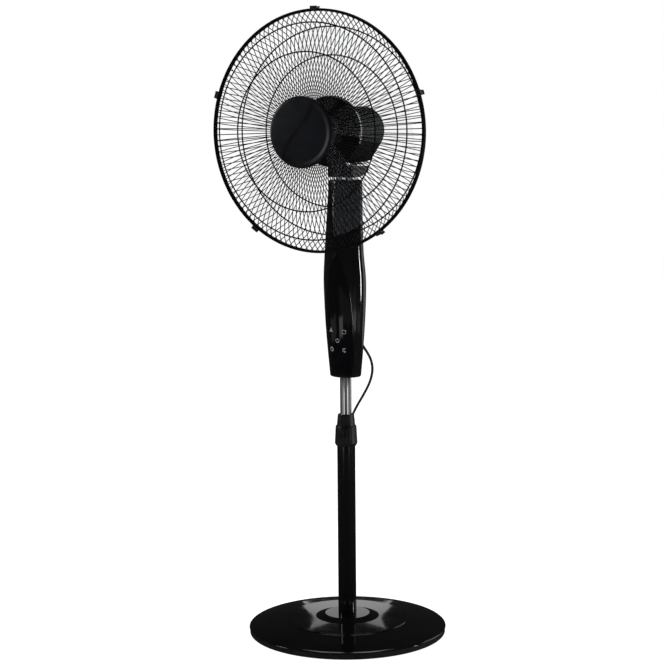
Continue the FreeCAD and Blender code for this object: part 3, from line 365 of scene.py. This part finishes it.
def piece(name, verts, faces, body, slot, replaces=(), material=None):
    mesh = bpy.data.meshes.new(name)
    mesh.from_pydata([tuple(v) for v in verts], [], faces)
    mesh.validate()
    finish_mesh(mesh, material or MATERIALS[slot])
    made = bpy.data.objects.new(name, mesh)
    scene.collection.objects.link(made)
    place(made, body, replaces)
    return made


def finish_mesh(mesh, material):
    work = bmesh.new()
    work.from_mesh(mesh)
    bmesh.ops.remove_doubles(work, verts=work.verts, dist=1e-7)
    bmesh.ops.recalc_face_normals(work, faces=work.faces)
    work.to_mesh(mesh)
    work.free()
    mesh.shade_smooth()
    mesh.set_sharp_from_angle(angle=SHARP)
    mesh.materials.clear()
    mesh.materials.append(material)


def place(made, body, replaces):
    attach(made, body)
    if replaces:
        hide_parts(*replaces)


def outline(corners, step=math.radians(6)):
    """Points of a line through (a, b) or (a, b, radius) corners, each radius as an arc."""
    points = []
    last = len(corners) - 1
    for i, corner in enumerate(corners):
        here = Vector(corner[:2])
        if len(corner) < 3 or i in (0, last):
            points.append(here)
            continue
        back = (Vector(corners[i - 1][:2]) - here).normalized()
        ahead = (Vector(corners[i + 1][:2]) - here).normalized()
        half = back.angle(ahead) / 2
        reach = corner[2] / math.tan(half)
        middle = here + (back + ahead).normalized() * (corner[2] / math.sin(half))
        start = here + back * reach - middle
        turn = math.pi - 2 * half
        count = max(2, math.ceil(turn / step))
        way = 1 if start.cross(here + ahead * reach - middle) > 0 else -1
        for k in range(count + 1):
            angle = way * turn * k / count
            spot = Vector((start.x * math.cos(angle) - start.y * math.sin(angle),
                           start.x * math.sin(angle) + start.y * math.cos(angle)))
            points.append(middle + spot)
    return points


def turned(points, axis, segments=192):
    """Vertices and faces of a (radius, height) line turned about the pole, "Z", or the fan axis, "Y"."""
    verts = []
    faces = []
    count = len(points)
    for i in range(segments):
        angle = 2 * math.pi * i / segments
        for r, h in points:
            if axis == "Z":
                verts.append((r * math.cos(angle), r * math.sin(angle), h))
            else:
                verts.append((r * math.cos(angle), h, HEAD_Z + r * math.sin(angle)))
    for i in range(segments):
        low = i * count
        high = (i + 1) % segments * count
        for k in range(count - 1):
            faces.append((low + k, low + k + 1, high + k + 1, high + k))
    return verts, faces


def mm(corners):
    return [tuple(value * MM for value in corner) for corner in corners]


def lathe(name, corners, axis, body, slot, replaces=(), closed=True, segments=192):
    points = outline(list(corners) + ([corners[0]] if closed else []))
    verts, faces = turned(points, axis, segments)
    return piece(name, verts, faces, body, slot, replaces)


def tube_mesh(path, radius, sides=10, closed=False):
    """Vertices and faces of a round tube along a list of points."""
    verts = []
    faces = []
    count = len(path)
    side = None
    for i, here in enumerate(path):
        before = path[i - 1] if (i or closed) else here
        after = path[(i + 1) % count] if (i < count - 1 or closed) else here
        along = (after - before).normalized()
        if side is None:
            side = along.orthogonal().normalized()
        side = (side - along * side.dot(along)).normalized()
        other = along.cross(side)
        for k in range(sides):
            angle = 2 * math.pi * k / sides
            verts.append(here + side * (radius * math.cos(angle)) + other * (radius * math.sin(angle)))
    rings = count if closed else count - 1
    for i in range(rings):
        low = i * sides
        high = (i + 1) % count * sides
        for k in range(sides):
            faces.append((low + k, low + (k + 1) % sides, high + (k + 1) % sides, high + k))
    if not closed:
        faces.append(tuple(range(sides))[::-1])
        faces.append(tuple((count - 1) * sides + k for k in range(sides)))
    return verts, faces


def gathered(parts):
    """One list of vertices and one of faces from several."""
    verts = []
    faces = []
    for some_verts, some_faces in parts:
        base = len(verts)
        verts.extend(some_verts)
        faces.extend(tuple(index + base for index in face) for face in some_faces)
    return verts, faces


# ---------------------------------------------------------------- cord
CORD_D = 0.005
VIEW_BACK = Vector((-0.487, 0.873, 0))      # level direction in which the spare cord is laid
VIEW_SIDE = Vector((0.873, 0.487, 0))
RELIEF_ELBOW = (0, 36, 581.2)
RELIEF_BACK = 22                # inner end of the strain relief, along Y
CORD_EXIT = (0, 53.8, 565.1)
CORD_DROP = (
    (0, 71.6, 549),
    (0, 90, 533),
    (-1, 107, 516),
    (-5, 119, 494),
    (-15, 125, 469),
    (-30, 125, 443),
    (-46, 120, 415),
    (-59, 115, 382),
    (-66, 113, 344),
    (-67, 116, 300),
    (-69, 122, 252),
    (-72, 129, 205),
    (-77, 139, 159),
    (-85, 152, 115),
    (-94, 170, 75),
    (-103, 190, 39),
    (-112, 213, 12),
)
HANK_NEAR = 0.262
HANK_LONG = 0.092
HANK_LOOP = 0.015           # radius of the end loops, to the cord's middle
HANK_TURNS = 4.5
HANK_POINTS = 16            # control points of one turn
HANK_PINCH = 0.004          # how far the tie draws each side in
HANK_MID = HANK_NEAR + HANK_LONG / 2


def behind(distance, side, z):
    return VIEW_BACK * distance + VIEW_SIDE * side + Vector((0, 0, z))


def hank_point(turn, height):
    """Point of the racetrack loop after that many turns."""
    half = HANK_LONG / 2 - HANK_LOOP - CORD_D / 2
    share = turn % 1 * 4
    if share < 1:
        along = -half + 2 * half * share
        side = HANK_LOOP
    elif share < 2:
        angle = math.pi * (share - 1)
        along = half + HANK_LOOP * math.sin(angle)
        side = HANK_LOOP * math.cos(angle)
    elif share < 3:
        along = half - 2 * half * (share - 2)
        side = -HANK_LOOP
    else:
        angle = math.pi * (share - 3)
        along = -half - HANK_LOOP * math.sin(angle)
        side = -HANK_LOOP * math.cos(angle)
    pinch = HANK_PINCH * max(0.0, math.cos(math.pi * along / (2 * half))) ** 2
    side -= math.copysign(pinch, side) if abs(side) > HANK_LOOP * 0.98 else 0
    return behind(HANK_MID + along, side, height)


def cord_points():
    points = [Vector(CORD_EXIT) * MM] + [Vector(p) * MM for p in CORD_DROP]
    points.append(behind(HANK_NEAR - 0.0016, 0.011, 0.0032))
    steps = round(HANK_TURNS * HANK_POINTS)
    for i in range(1, steps + 1):
        turn = i / HANK_POINTS
        height = CORD_D * (0.51 + 1.02 * max(0.0, min(turn - 0.25, HANK_TURNS - 0.5)))
        points.append(hank_point(turn, height))
    return points


def lead_curve():
    data = bpy.data.curves.new("power_lead", "CURVE")
    data.dimensions = "3D"
    data.bevel_depth = CORD_D / 2
    data.bevel_resolution = 6
    data.resolution_u = 10
    data.use_fill_caps = True
    spline = data.splines.new("NURBS")
    points = cord_points()
    spline.points.add(len(points) - 1)
    for spot, point in zip(spline.points, points):
        spot.co = (*point, 1)
    spline.order_u = 3
    spline.use_endpoint_u = True
    lead = bpy.data.objects.new("power_lead", data)
    scene.collection.objects.link(lead)
    return lead


def curve_line(curve):
    """Points of a curve's middle line."""
    depth = curve.data.bevel_depth
    curve.data.bevel_depth = 0
    line = bpy.data.meshes.new_from_object(curve)
    points = [v.co.copy() for v in line.vertices]
    curve.data.bevel_depth = depth
    bpy.data.meshes.remove(line)
    return points


def make_cord():
    curve = lead_curve()
    path = curve_line(curve)
    mesh = bpy.data.meshes.new_from_object(curve)
    bpy.data.objects.remove(curve)
    finish_mesh(mesh, MATERIALS["cord_sheath"])
    lead = bpy.data.objects.new("power_lead", mesh)
    scene.collection.objects.link(lead)
    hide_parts("power_cord", "cord_hank")
    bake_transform(lead)
    return lead, path


lead, lead_path = make_cord()


def hank_tie():
    """Twisted wire tie round the waist of the hank."""
    low = 0.0014
    high = CORD_D * (HANK_TURNS + 0.6)
    half = HANK_LOOP - HANK_PINCH + CORD_D / 2 + 0.001
    corner = 0.0035
    points = outline([(0, low), (half, low, corner), (half, high, corner), (-half, high, corner),
                      (-half, low, corner), (0, low)])
    ring = [behind(HANK_MID, p.x, p.y) for p in points[:-1]]
    parts = [tube_mesh(ring, 0.0008, 8, closed=True)]
    for sign in (-1, 1):
        tail = []
        for k in range(15):
            t = k / 14
            along = HANK_MID + 0.0010 * math.sin(9 * t) * sign
            side = (0.0010 * math.cos(9 * t) + 0.010 * t) * sign
            tail.append(behind(along, side, high + 0.0006 + 0.004 * t * (1 - t)))
        parts.append(tube_mesh(tail, 0.0007, 8))
    verts, faces = gathered(parts)
    return piece("hank_tie", verts, faces, "stand", "cord_sheath")


tie = hank_tie()


def spun(points, start, along):
    """A (radius, distance) line turned about an axis that starts at a point."""
    verts, faces = turned(points, "Z", 48)
    turn = along.to_track_quat("Z", "Y")
    return [start + turn @ Vector(v) for v in verts], faces


def strain_relief():
    """Tapered rubber sleeve with a turned-down tail cut by four grooves."""
    elbow = Vector(RELIEF_ELBOW) * MM
    along = Vector(CORD_EXIT) * MM - elbow
    bulge = 0.0050
    root = 0.0048
    tip = 0.0035
    groove_r = 0.0030
    turns = [math.radians(angle) for angle in range(0, 90, 9)]
    tail = [(bulge * math.sin(turn), -bulge * math.cos(turn)) for turn in turns]
    for i in range(4):
        start = 0.0064 + 0.0044 * i
        for h, low in ((start, False), (start, True), (start + 0.0014, True), (start + 0.0014, False)):
            radius = groove_r if low else root + (tip - root) * h / along.length
            tail.append((radius, h, 0.0002))
    tail += [(tip, along.length, 0.0005), (CORD_D / 2 - 0.0001, along.length)]
    back = RELIEF_BACK * MM
    grip = [(0.0, 0.0), (0.0065, 0.0, 0.0004), (0.0065, 0.0028, 0.0004), (root, 0.0028),
            (root, elbow.y - back)]
    inside = Vector((0, back, elbow.z))
    turned_down = spun(outline(tail), elbow, along)
    straight = spun(outline(grip), inside, Vector((0, 1, 0)))
    verts, faces = gathered([turned_down, straight])
    return piece("cord_relief", verts, faces, "column", "rubber", ["strain_relief"])


strain_relief()


# ---------------------------------------------------------------- guard
SPOKES = 120
SPOKE_R = 0.0008
RING_R = 0.0013
WIRE_R = 0.0025
RIM_MID = CAGE_R - WIRE_R
FRONT_RIM = guard_high.y - WIRE_R
REAR_RIM = rear_low.y + WIRE_R
FRONT_SPOKE = mm(((54, -156), (70, -156, 60), (152, -146.5, 160), (203, -124.5, 25)))
REAR_SPOKE = mm(((59, -58), (74, -58, 30), (128, -52.5, 200), (194, -54.5, 16)))
FRONT_RINGS = (0.144, 0.197)
REAR_RINGS = (0.140, 0.192)
FRONT_PLATE = (0.0585, -0.156)
REAR_PLATE = (0.0635, -0.058)


def around(points, angle):
    """Points in the plane through the fan axis, given as (radius, y), at an angle about it."""
    return [Vector((r * math.sin(angle), y, HEAD_Z + r * math.cos(angle))) for r, y in points]


def ring_mesh(radius, y, wire):
    turns = [2 * math.pi * i / 240 for i in range(240)]
    path = [Vector((radius * math.cos(turn), y, HEAD_Z + radius * math.sin(turn))) for turn in turns]
    return tube_mesh(path, wire, 12, closed=True)


def height_at(points, radius):
    for (r0, y0), (r1, y1) in zip(points, points[1:]):
        if r0 <= radius <= r1:
            share = (radius - r0) / (r1 - r0)
            slope = (y1 - y0) / (r1 - r0)
            return y0 + (y1 - y0) * share + (SPOKE_R + RING_R) * math.hypot(1, slope)
    return points[-1][1]


def guard(name, spoke, rim_y, rings, plate, replaces):
    corners = list(spoke) + [(RIM_MID, rim_y)]
    line = outline(corners, math.radians(7))
    parts = []
    for i in range(SPOKES):
        parts.append(tube_mesh(around(line, 2 * math.pi * (i + 0.5) / SPOKES), SPOKE_R, 8))
    wires = gathered(parts)
    hoops = [ring_mesh(radius, height_at(line, radius), RING_R) for radius in rings]
    hoops.append(ring_mesh(RIM_MID, rim_y, WIRE_R))
    radius, y = plate
    disc = outline([(0.0205, y - 0.0008), (radius, y - 0.0008, 0.0003), (radius, y + 0.0008, 0.0003),
                    (0.0205, y + 0.0008), (0.0205, y - 0.0008)])
    hoops.append(turned(disc, "Y"))
    verts, faces = gathered([wires] + hoops)
    return piece(name, verts, faces, "head", "black_wire", replaces)


guard("guard_front", FRONT_SPOKE, FRONT_RIM, FRONT_RINGS, FRONT_PLATE, ["front_grille"])
guard("guard_rear", REAR_SPOKE, REAR_RIM, REAR_RINGS, REAR_PLATE, ["rear_grille"])


# ---------------------------------------------------------------- badge
BADGE_RISE = BADGE_BACK - BADGE_FRONT
CREASE_STEP = 0.0030
CREASE_SOFT = 0.0018
CREASE_BEND = 0.004
CREASE_LEAN = math.radians(32)
CREASE_SHIFT = -0.007


def badge_height(x, z):
    """How far the badge stands in front of its back edge: a low dome with an S-shaped step across it."""
    r = math.hypot(x, z)
    dome = BADGE_RISE * 0.80 * (1 - 0.28 * (r / HUB_R) ** 2)
    edge = min(1.0, max(0.0, (HUB_R - r) / 0.005))
    dome *= math.sqrt(1 - (1 - edge) ** 2)
    across = x * math.cos(CREASE_LEAN) - z * math.sin(CREASE_LEAN)
    along = x * math.sin(CREASE_LEAN) + z * math.cos(CREASE_LEAN)
    bend = CREASE_BEND * math.sin(math.pi * along / HUB_R)
    side = (across - bend - CREASE_SHIFT) / CREASE_SOFT
    step = CREASE_STEP / (1 + math.exp(-2 * side))
    fade = min(1.0, (HUB_R - r) / 0.012)
    return dome - step * fade


def front_badge():
    rings = [HUB_R * (i / 60) for i in range(1, 56)]
    rings += [HUB_R - inset for inset in (0.004, 0.003, 0.002, 0.0012, 0.0006, 0.0002, 0)]
    segments = 192
    verts = [Vector((0, BADGE_BACK - badge_height(0, 0), HEAD_Z))]
    faces = []
    for r in rings:
        for k in range(segments):
            angle = 2 * math.pi * k / segments
            x, z = r * math.cos(angle), r * math.sin(angle)
            verts.append(Vector((x, BADGE_BACK - max(badge_height(x, z), 0.0008), HEAD_Z + z)))
    for k in range(segments):
        faces.append((0, 1 + k, 1 + (k + 1) % segments))
    for i in range(len(rings) - 1):
        low = 1 + i * segments
        for k in range(segments):
            ahead = (k + 1) % segments
            faces.append((low + k, low + ahead, low + segments + ahead, low + segments + k))
    last = 1 + (len(rings) - 1) * segments
    back = len(verts)
    for k in range(segments):
        angle = 2 * math.pi * k / segments
        verts.append(Vector((HUB_R * math.cos(angle), BADGE_BACK, HEAD_Z + HUB_R * math.sin(angle))))
    for k in range(segments):
        ahead = (k + 1) % segments
        faces.append((last + k, last + ahead, back + ahead, back + k))
    faces.append(tuple(back + k for k in range(segments))[::-1])
    return piece("badge", verts, faces, "head", "badge_black", ["front_badge"])


front_badge()


# ---------------------------------------------------------------- base and pole
def base_cover():
    top = ((17.6, 36), (43, 36, 1.0), (61, 30.4, 3.0), (117, 27.4, 0.6), (118.2, 25.9, 0.6), (158, 21.4, 60),
           (188.2, 14.6, 9), (190.8, 12.2, 1.2), (190.8, 10.9, 0.4))
    underside = ((186.5, 10.9), (183, 11.5), (158, 19, 60), (61, 27.9, 3), (42.6, 33.7), (17.6, 33.7))
    corners = mm(top + underside)
    return lathe("base_dish", corners, "Z", "stand", "gloss_black", ["base_cover"], segments=288)


def pole():
    wall = 0.0012
    corners = [(POLE_R - wall, pole_low.z), (POLE_R, pole_low.z), (POLE_R, POLE_TOP, 0.0004),
               (POLE_R - wall, POLE_TOP, 0.0004)]
    return lathe("pole", corners, "Z", "stand", "black_enamel", ["lower_pole"], segments=128)


def chrome_tube():
    corners = [(TUBE_R - 0.001, tube_low.z), (TUBE_R, tube_low.z, 0.0003), (TUBE_R, tube_high.z, 0.0003),
               (TUBE_R - 0.001, tube_high.z)]
    return lathe("chrome_tube", corners, "Z", "column", "chrome", ["upper_tube"], segments=128)


base_cover()
pole()
chrome_tube()


# ---------------------------------------------------------------- column
# height, mean radius and middle in Y of each section, as the frame's column has them
SECTIONS = mm(((501, 29.3, 0), (550, 33.6, 0), (600, 37.3, 0), (650, 39.6, 0), (690, 40.0, -0.8),
               (739, 36.9, -2.4), (800, 34.2, 0.2), (856, 32.2, 3.8), (875, 31.5, 4.5)))
WIDE = 1.046
DEEP = 0.86
SEAM_Y = 0.005
SEAM_GAP = 0.00025


def smooth_through(knots, at):
    """Value at a place on the smooth curve through (place, value) knots."""
    last = len(knots) - 2
    i = max(0, min(last, sum(1 for place_, _ in knots[1:-1] if at >= place_)))
    (x0, y0), (x1, y1) = knots[i], knots[i + 1]
    before = knots[i - 1] if i else (2 * x0 - x1, 2 * y0 - y1)
    after = knots[i + 2] if i < last else (2 * x1 - x0, 2 * y1 - y0)
    start = (y1 - before[1]) / (x1 - before[0]) * (x1 - x0)
    end = (after[1] - y0) / (after[0] - x0) * (x1 - x0)
    t = (at - x0) / (x1 - x0)
    return (y0 * (2 * t ** 3 - 3 * t ** 2 + 1) + start * (t ** 3 - 2 * t ** 2 + t)
            + y1 * (3 * t ** 2 - 2 * t ** 3) + end * (t ** 3 - t ** 2))


def section(z):
    """Half-width, half-depth and middle of the column at a height."""
    radius = smooth_through([(s[0], s[1]) for s in SECTIONS], z)
    middle = smooth_through([(s[0], s[2]) for s in SECTIONS], z)
    return radius * WIDE, radius * DEEP, middle


def front_y(x, z):
    wide, deep, middle = section(z)
    return middle - deep * math.sqrt(max(0.0, 1 - (x / wide) ** 2))


EDGE_ROUND = 0.0028
WALL = 0.0022
HOLE_R = TUBE_R + 0.0003
TOP_LIP = 0.08              # share of the top that closes in round the fork's slot


def shell_rows():
    """Half-width, half-depth, middle and height of the shell's rows, from the tube's hole to the top's slot."""
    rows = []
    wide, deep, middle = section(COLUMN_BOTTOM)
    for k in range(5):
        share = k / 5
        rows.append((HOLE_R + (wide - EDGE_ROUND - HOLE_R) * share,
                     HOLE_R + (deep - EDGE_ROUND - HOLE_R) * share, middle * share, COLUMN_BOTTOM))
    for k in range(7):
        angle = math.pi / 2 * k / 6
        z = COLUMN_BOTTOM + EDGE_ROUND * (1 - math.cos(angle))
        wide, deep, middle = section(z)
        inset = EDGE_ROUND * (1 - math.sin(angle))
        rows.append((wide - inset, deep - inset, middle, z))
    steps = 110
    for k in range(1, steps):
        z = COLUMN_BOTTOM + EDGE_ROUND + (COLUMN_TOP - COLUMN_BOTTOM - 2 * EDGE_ROUND) * k / steps
        rows.append((*section(z), z))
    for k in range(7):
        angle = math.pi / 2 * (1 - k / 6)
        z = COLUMN_TOP - EDGE_ROUND * (1 - math.cos(angle))
        wide, deep, middle = section(z)
        inset = EDGE_ROUND * (1 - math.sin(angle))
        rows.append((wide - inset, deep - inset, middle, z))
    wide, deep, middle = section(COLUMN_TOP)
    for k in range(1, 5):
        share = 1 - TOP_LIP * k / 4
        rows.append(((wide - EDGE_ROUND) * share, (deep - EDGE_ROUND) * share, middle, COLUMN_TOP))
    return rows


def column_half(name, is_front, replaces):
    seam = SEAM_Y + (-SEAM_GAP if is_front else SEAM_GAP) / 2
    rows = shell_rows()
    columns = 96
    verts = []
    faces = []
    for wide, deep, middle, z in rows:
        start = math.asin(max(-1.0, min(1.0, (seam - middle) / deep)))
        end = math.pi - start
        if is_front:
            start += 2 * math.pi
        for k in range(columns + 1):
            angle = end + (start - end) * k / columns
            verts.append(Vector((wide * math.cos(angle), middle + deep * math.sin(angle), z)))
    for i in range(len(rows) - 1):
        low = i * (columns + 1)
        for k in range(columns):
            faces.append((low + k, low + k + 1, low + columns + 2 + k, low + columns + 1 + k))
    half = piece(name, verts, faces, "column", "gloss_black", replaces)
    thicken = half.modifiers.new("wall", "SOLIDIFY")
    thicken.thickness = WALL
    thicken.offset = -1
    thicken.use_rim = True
    bevel = half.modifiers.new("edge", "BEVEL")
    bevel.width = 0.0003
    bevel.segments = 2
    bevel.limit_method = "ANGLE"
    bevel.angle_limit = math.radians(50)
    apply_modifiers(half)
    return half


def apply_modifiers(made):
    graph = bpy.context.evaluated_depsgraph_get()
    final = bpy.data.meshes.new_from_object(made.evaluated_get(graph))
    made.modifiers.clear()
    made.data = final
    final.set_sharp_from_angle(angle=SHARP)


column_half("shell_front", True, ["column_front"])
column_half("shell_rear", False, ["column_rear"])


# ---------------------------------------------------------------- control panel
PANEL_HALF = mm(((23.5, 505), (26.2, 524), (28.0, 545), (29.5, 585), (28.3, 630), (24.5, 668), (15.5, 705),
                 (6.5, 730)))
PANEL_APEX = 0.741
PANEL_MID = 0.600


def panel_width(z):
    return smooth_through([(h, w) for w, h in PANEL_HALF] + [(PANEL_APEX, 0.0)], z)


def panel_edge():
    """Closed outline of the panel in (x, z), from the middle of the foot round to the right."""
    foot = PANEL_HALF[0][1]
    right = [(PANEL_HALF[0][0] * k / 8, foot) for k in range(8)]
    heights = [foot + 0.0008 + (PANEL_APEX - 0.004 - foot) * k / 70 for k in range(71)]
    right += [(panel_width(z), z) for z in heights]
    tip = panel_width(heights[-1])
    right += [(tip * math.cos(a), heights[-1] + (PANEL_APEX - heights[-1]) * math.sin(a))
              for a in (math.radians(20), math.radians(45), math.radians(70))]
    left = [(-x, z) for x, z in reversed(right[1:])]
    return [Vector(p) for p in right + [(0, PANEL_APEX)] + left]


def control_panel():
    edge = panel_edge()
    count = len(edge)
    normals = []
    for i, here in enumerate(edge):
        along = (edge[(i + 1) % count] - edge[i - 1]).normalized()
        normals.append(Vector((along.y, -along.x)))
    rings = [(0.0, -0.0010), (0.0, -0.0001), (0.0002, 0.0004), (0.0006, 0.0007), (0.0012, 0.0008),
             (0.0020, 0.0008)]
    verts = []
    faces = []
    for inset, proud in rings:
        for here, out in zip(edge, normals):
            spot = here - out * inset
            verts.append(Vector((spot.x, front_y(spot.x, spot.y) - proud, spot.y)))
    inner = [here - out * rings[-1][0] for here, out in zip(edge, normals)]
    shares = (0.9, 0.8, 0.7, 0.6, 0.5, 0.4, 0.3, 0.2, 0.1)
    for share in shares:
        for spot in inner:
            x = spot.x * share
            z = PANEL_MID + (spot.y - PANEL_MID) * share
            verts.append(Vector((x, front_y(x, z) - rings[-1][1], z)))
    levels = len(rings) + len(shares)
    for i in range(levels - 1):
        low = i * count
        for k in range(count):
            ahead = (k + 1) % count
            faces.append((low + k, low + ahead, low + count + ahead, low + count + k))
    middle = len(verts)
    verts.append(Vector((0, front_y(0, PANEL_MID) - rings[-1][1], PANEL_MID)))
    last = (levels - 1) * count
    for k in range(count):
        faces.append((last + k, last + (k + 1) % count, middle))
    return piece("touch_panel", verts, faces, "column", "panel_gloss", ["control_panel"])


control_panel()


# ---------------------------------------------------------------- icons
ICON_LINE = 0.00035


def arc(middle, radius, start, end, count=24):
    return [Vector((middle[0] + radius * math.cos(math.radians(start + (end - start) * k / count)),
                    middle[1] + radius * math.sin(math.radians(start + (end - start) * k / count))))
            for k in range(count + 1)]


def blade_icon(x, z):
    lines = [arc((x, z), 0.0009, 0, 360)]
    for i in range(3):
        turn = math.radians(120 * i + 90)
        petal = []
        for k in range(25):
            t = k / 24
            r = 0.0009 + 0.0032 * math.sin(math.pi * t)
            angle = turn + math.radians(52) * (t - 0.5)
            petal.append(Vector((x + r * math.cos(angle), z + r * math.sin(angle))))
        lines.append(petal)
    return lines


def swing_icon(x, z):
    radius = 0.0037
    lines = [arc((x, z), radius, 20, 160), arc((x, z), radius, 200, 340)]
    for sign in (-1, 1):
        reach = radius * sign
        tip = Vector((x + reach * math.cos(math.radians(20)), z + reach * math.sin(math.radians(20))))
        lines.append([tip + Vector((-0.0013, 0.0002)) * sign, tip, tip + Vector((0.0005, 0.0013)) * sign])
    return lines


def power_icon(x, z):
    return [arc((x, z), 0.0036, 120, 420), [Vector((x, z + 0.0012)), Vector((x, z + 0.0046))]]


def timer_icon(x, z):
    return [arc((x, z), 0.0038, 0, 360), [Vector((x, z + 0.0024)), Vector((x, z)), Vector((x + 0.0018, z))]]


def moon_icon(x, z):
    outer = arc((x, z), 0.0036, 60, 300)
    inner = arc((x + 0.0020, z), 0.0031, 275, 85)
    return [outer + inner]


def panel_icons():
    lines = []
    lines += blade_icon(-0.0137, 0.592)
    lines += swing_icon(0.0137, 0.590)
    lines += power_icon(0.0, 0.573)
    lines += timer_icon(-0.0137, 0.556)
    lines += moon_icon(0.0137, 0.555)
    parts = []
    for line in lines:
        path = [Vector((p.x, front_y(p.x, p.y) - 0.00085, p.y)) for p in line]
        parts.append(tube_mesh(path, ICON_LINE, 6))
    verts, faces = gathered(parts)
    return piece("panel_icons", verts, faces, "column", "panel_gloss", material=ICON_PRINT)


panel_icons()


# ---------------------------------------------------------------- studio
def area_light(name, place_at, aim, size, power, tall=None):
    data = bpy.data.lights.new(name, "AREA")
    data.shape = "RECTANGLE"
    data.size = size
    data.size_y = tall or size
    data.energy = power
    lamp = bpy.data.objects.new(name, data)
    lamp.location = place_at
    lamp.rotation_euler = (Vector(aim) - Vector(place_at)).to_track_quat("-Z", "Y").to_euler()
    lamp.visible_camera = False
    scene.collection.objects.link(lamp)
    return lamp


def flat_material(name, color, strength=0.0):
    m = bpy.data.materials.new(name)
    m.use_nodes = True
    surface = m.node_tree.nodes["Principled BSDF"]
    surface.inputs["Base Color"].default_value = (*color, 1)
    surface.inputs["Roughness"].default_value = 0.9
    surface.inputs["Specular IOR Level"].default_value = 0.0
    surface.inputs["Emission Color"].default_value = (1, 1, 1, 1)
    surface.inputs["Emission Strength"].default_value = strength
    return m


def stage():
    bpy.ops.mesh.primitive_circle_add(vertices=96, radius=9, fill_type="NGON", location=(0, 0, 0))
    floor = bpy.context.object
    floor.name = "floor"
    floor.data.materials.append(flat_material("floor_paper", (0.9, 0.9, 0.9), 0.985))
    floor.visible_glossy = False
    bpy.ops.mesh.primitive_uv_sphere_add(segments=64, ring_count=32, radius=9, location=(0, 0, 0))
    sky = bpy.context.object
    sky.name = "backdrop"
    sky.data.materials.append(flat_material("backdrop_paper", (0, 0, 0), 1.0))
    sky.visible_glossy = False
    sky.visible_diffuse = False
    sky.visible_shadow = False


def lights():
    away = Vector((math.sin(CAMERA_AZIMUTH), -math.cos(CAMERA_AZIMUTH), 0))
    right = Vector((math.cos(CAMERA_AZIMUTH), math.sin(CAMERA_AZIMUTH), 0))
    up = Vector((0, 0, 1))
    middle = up * (HEAD_Z * 0.6)
    area_light("top", up * 4.0 - away * 1.0, middle, 2.4, 40)
    area_light("left", away * 0.2 - right * 3.0 + up * 1.6, middle, 0.5, 18, 1.2)
    area_light("right", right * 2.6 + away * 0.36 + up * 0.5, up * 0.68, 0.22, 12, 0.52)
    area_light("far right", right * 2.5 - away * 1.7 + up * 1.2, up * 0.9, 1.5, 8.5, 2.6)
    area_light("behind", away * -1.6 + up * 0.42, up * 0.03, 0.34, 0.5, 0.62)
    # low and in front, these show only in the chromed tube
    area_light("tube left", away * 1.73 - right * 1.30 + up * 0.11, up * 0.11, 0.7, 0.36, 0.16)
    area_light("tube right", away * 1.80 + right * 1.35 + up * 0.11, up * 0.11, 0.7, 0.36, 0.16)
    area_light("tube front", away * 2.5 + up * 0.11, up * 0.11, 4.6, 0.2, 0.17)
    area_light("tube far left", away * 0.45 - right * 2.25 + up * 0.11, up * 0.11, 1.3, 0.15, 0.16)
    area_light("tube far right", away * 0.9 + right * 2.1 + up * 0.11, up * 0.11, 1.1, 0.15, 0.16)
    world = bpy.data.worlds.new("world")
    world.use_nodes = True
    world.node_tree.nodes["Background"].inputs["Color"].default_value = (1, 1, 1, 1)
    world.node_tree.nodes["Background"].inputs["Strength"].default_value = 0.02
    scene.world = world
    scene.view_settings.view_transform = "Standard"


stage()
lights()
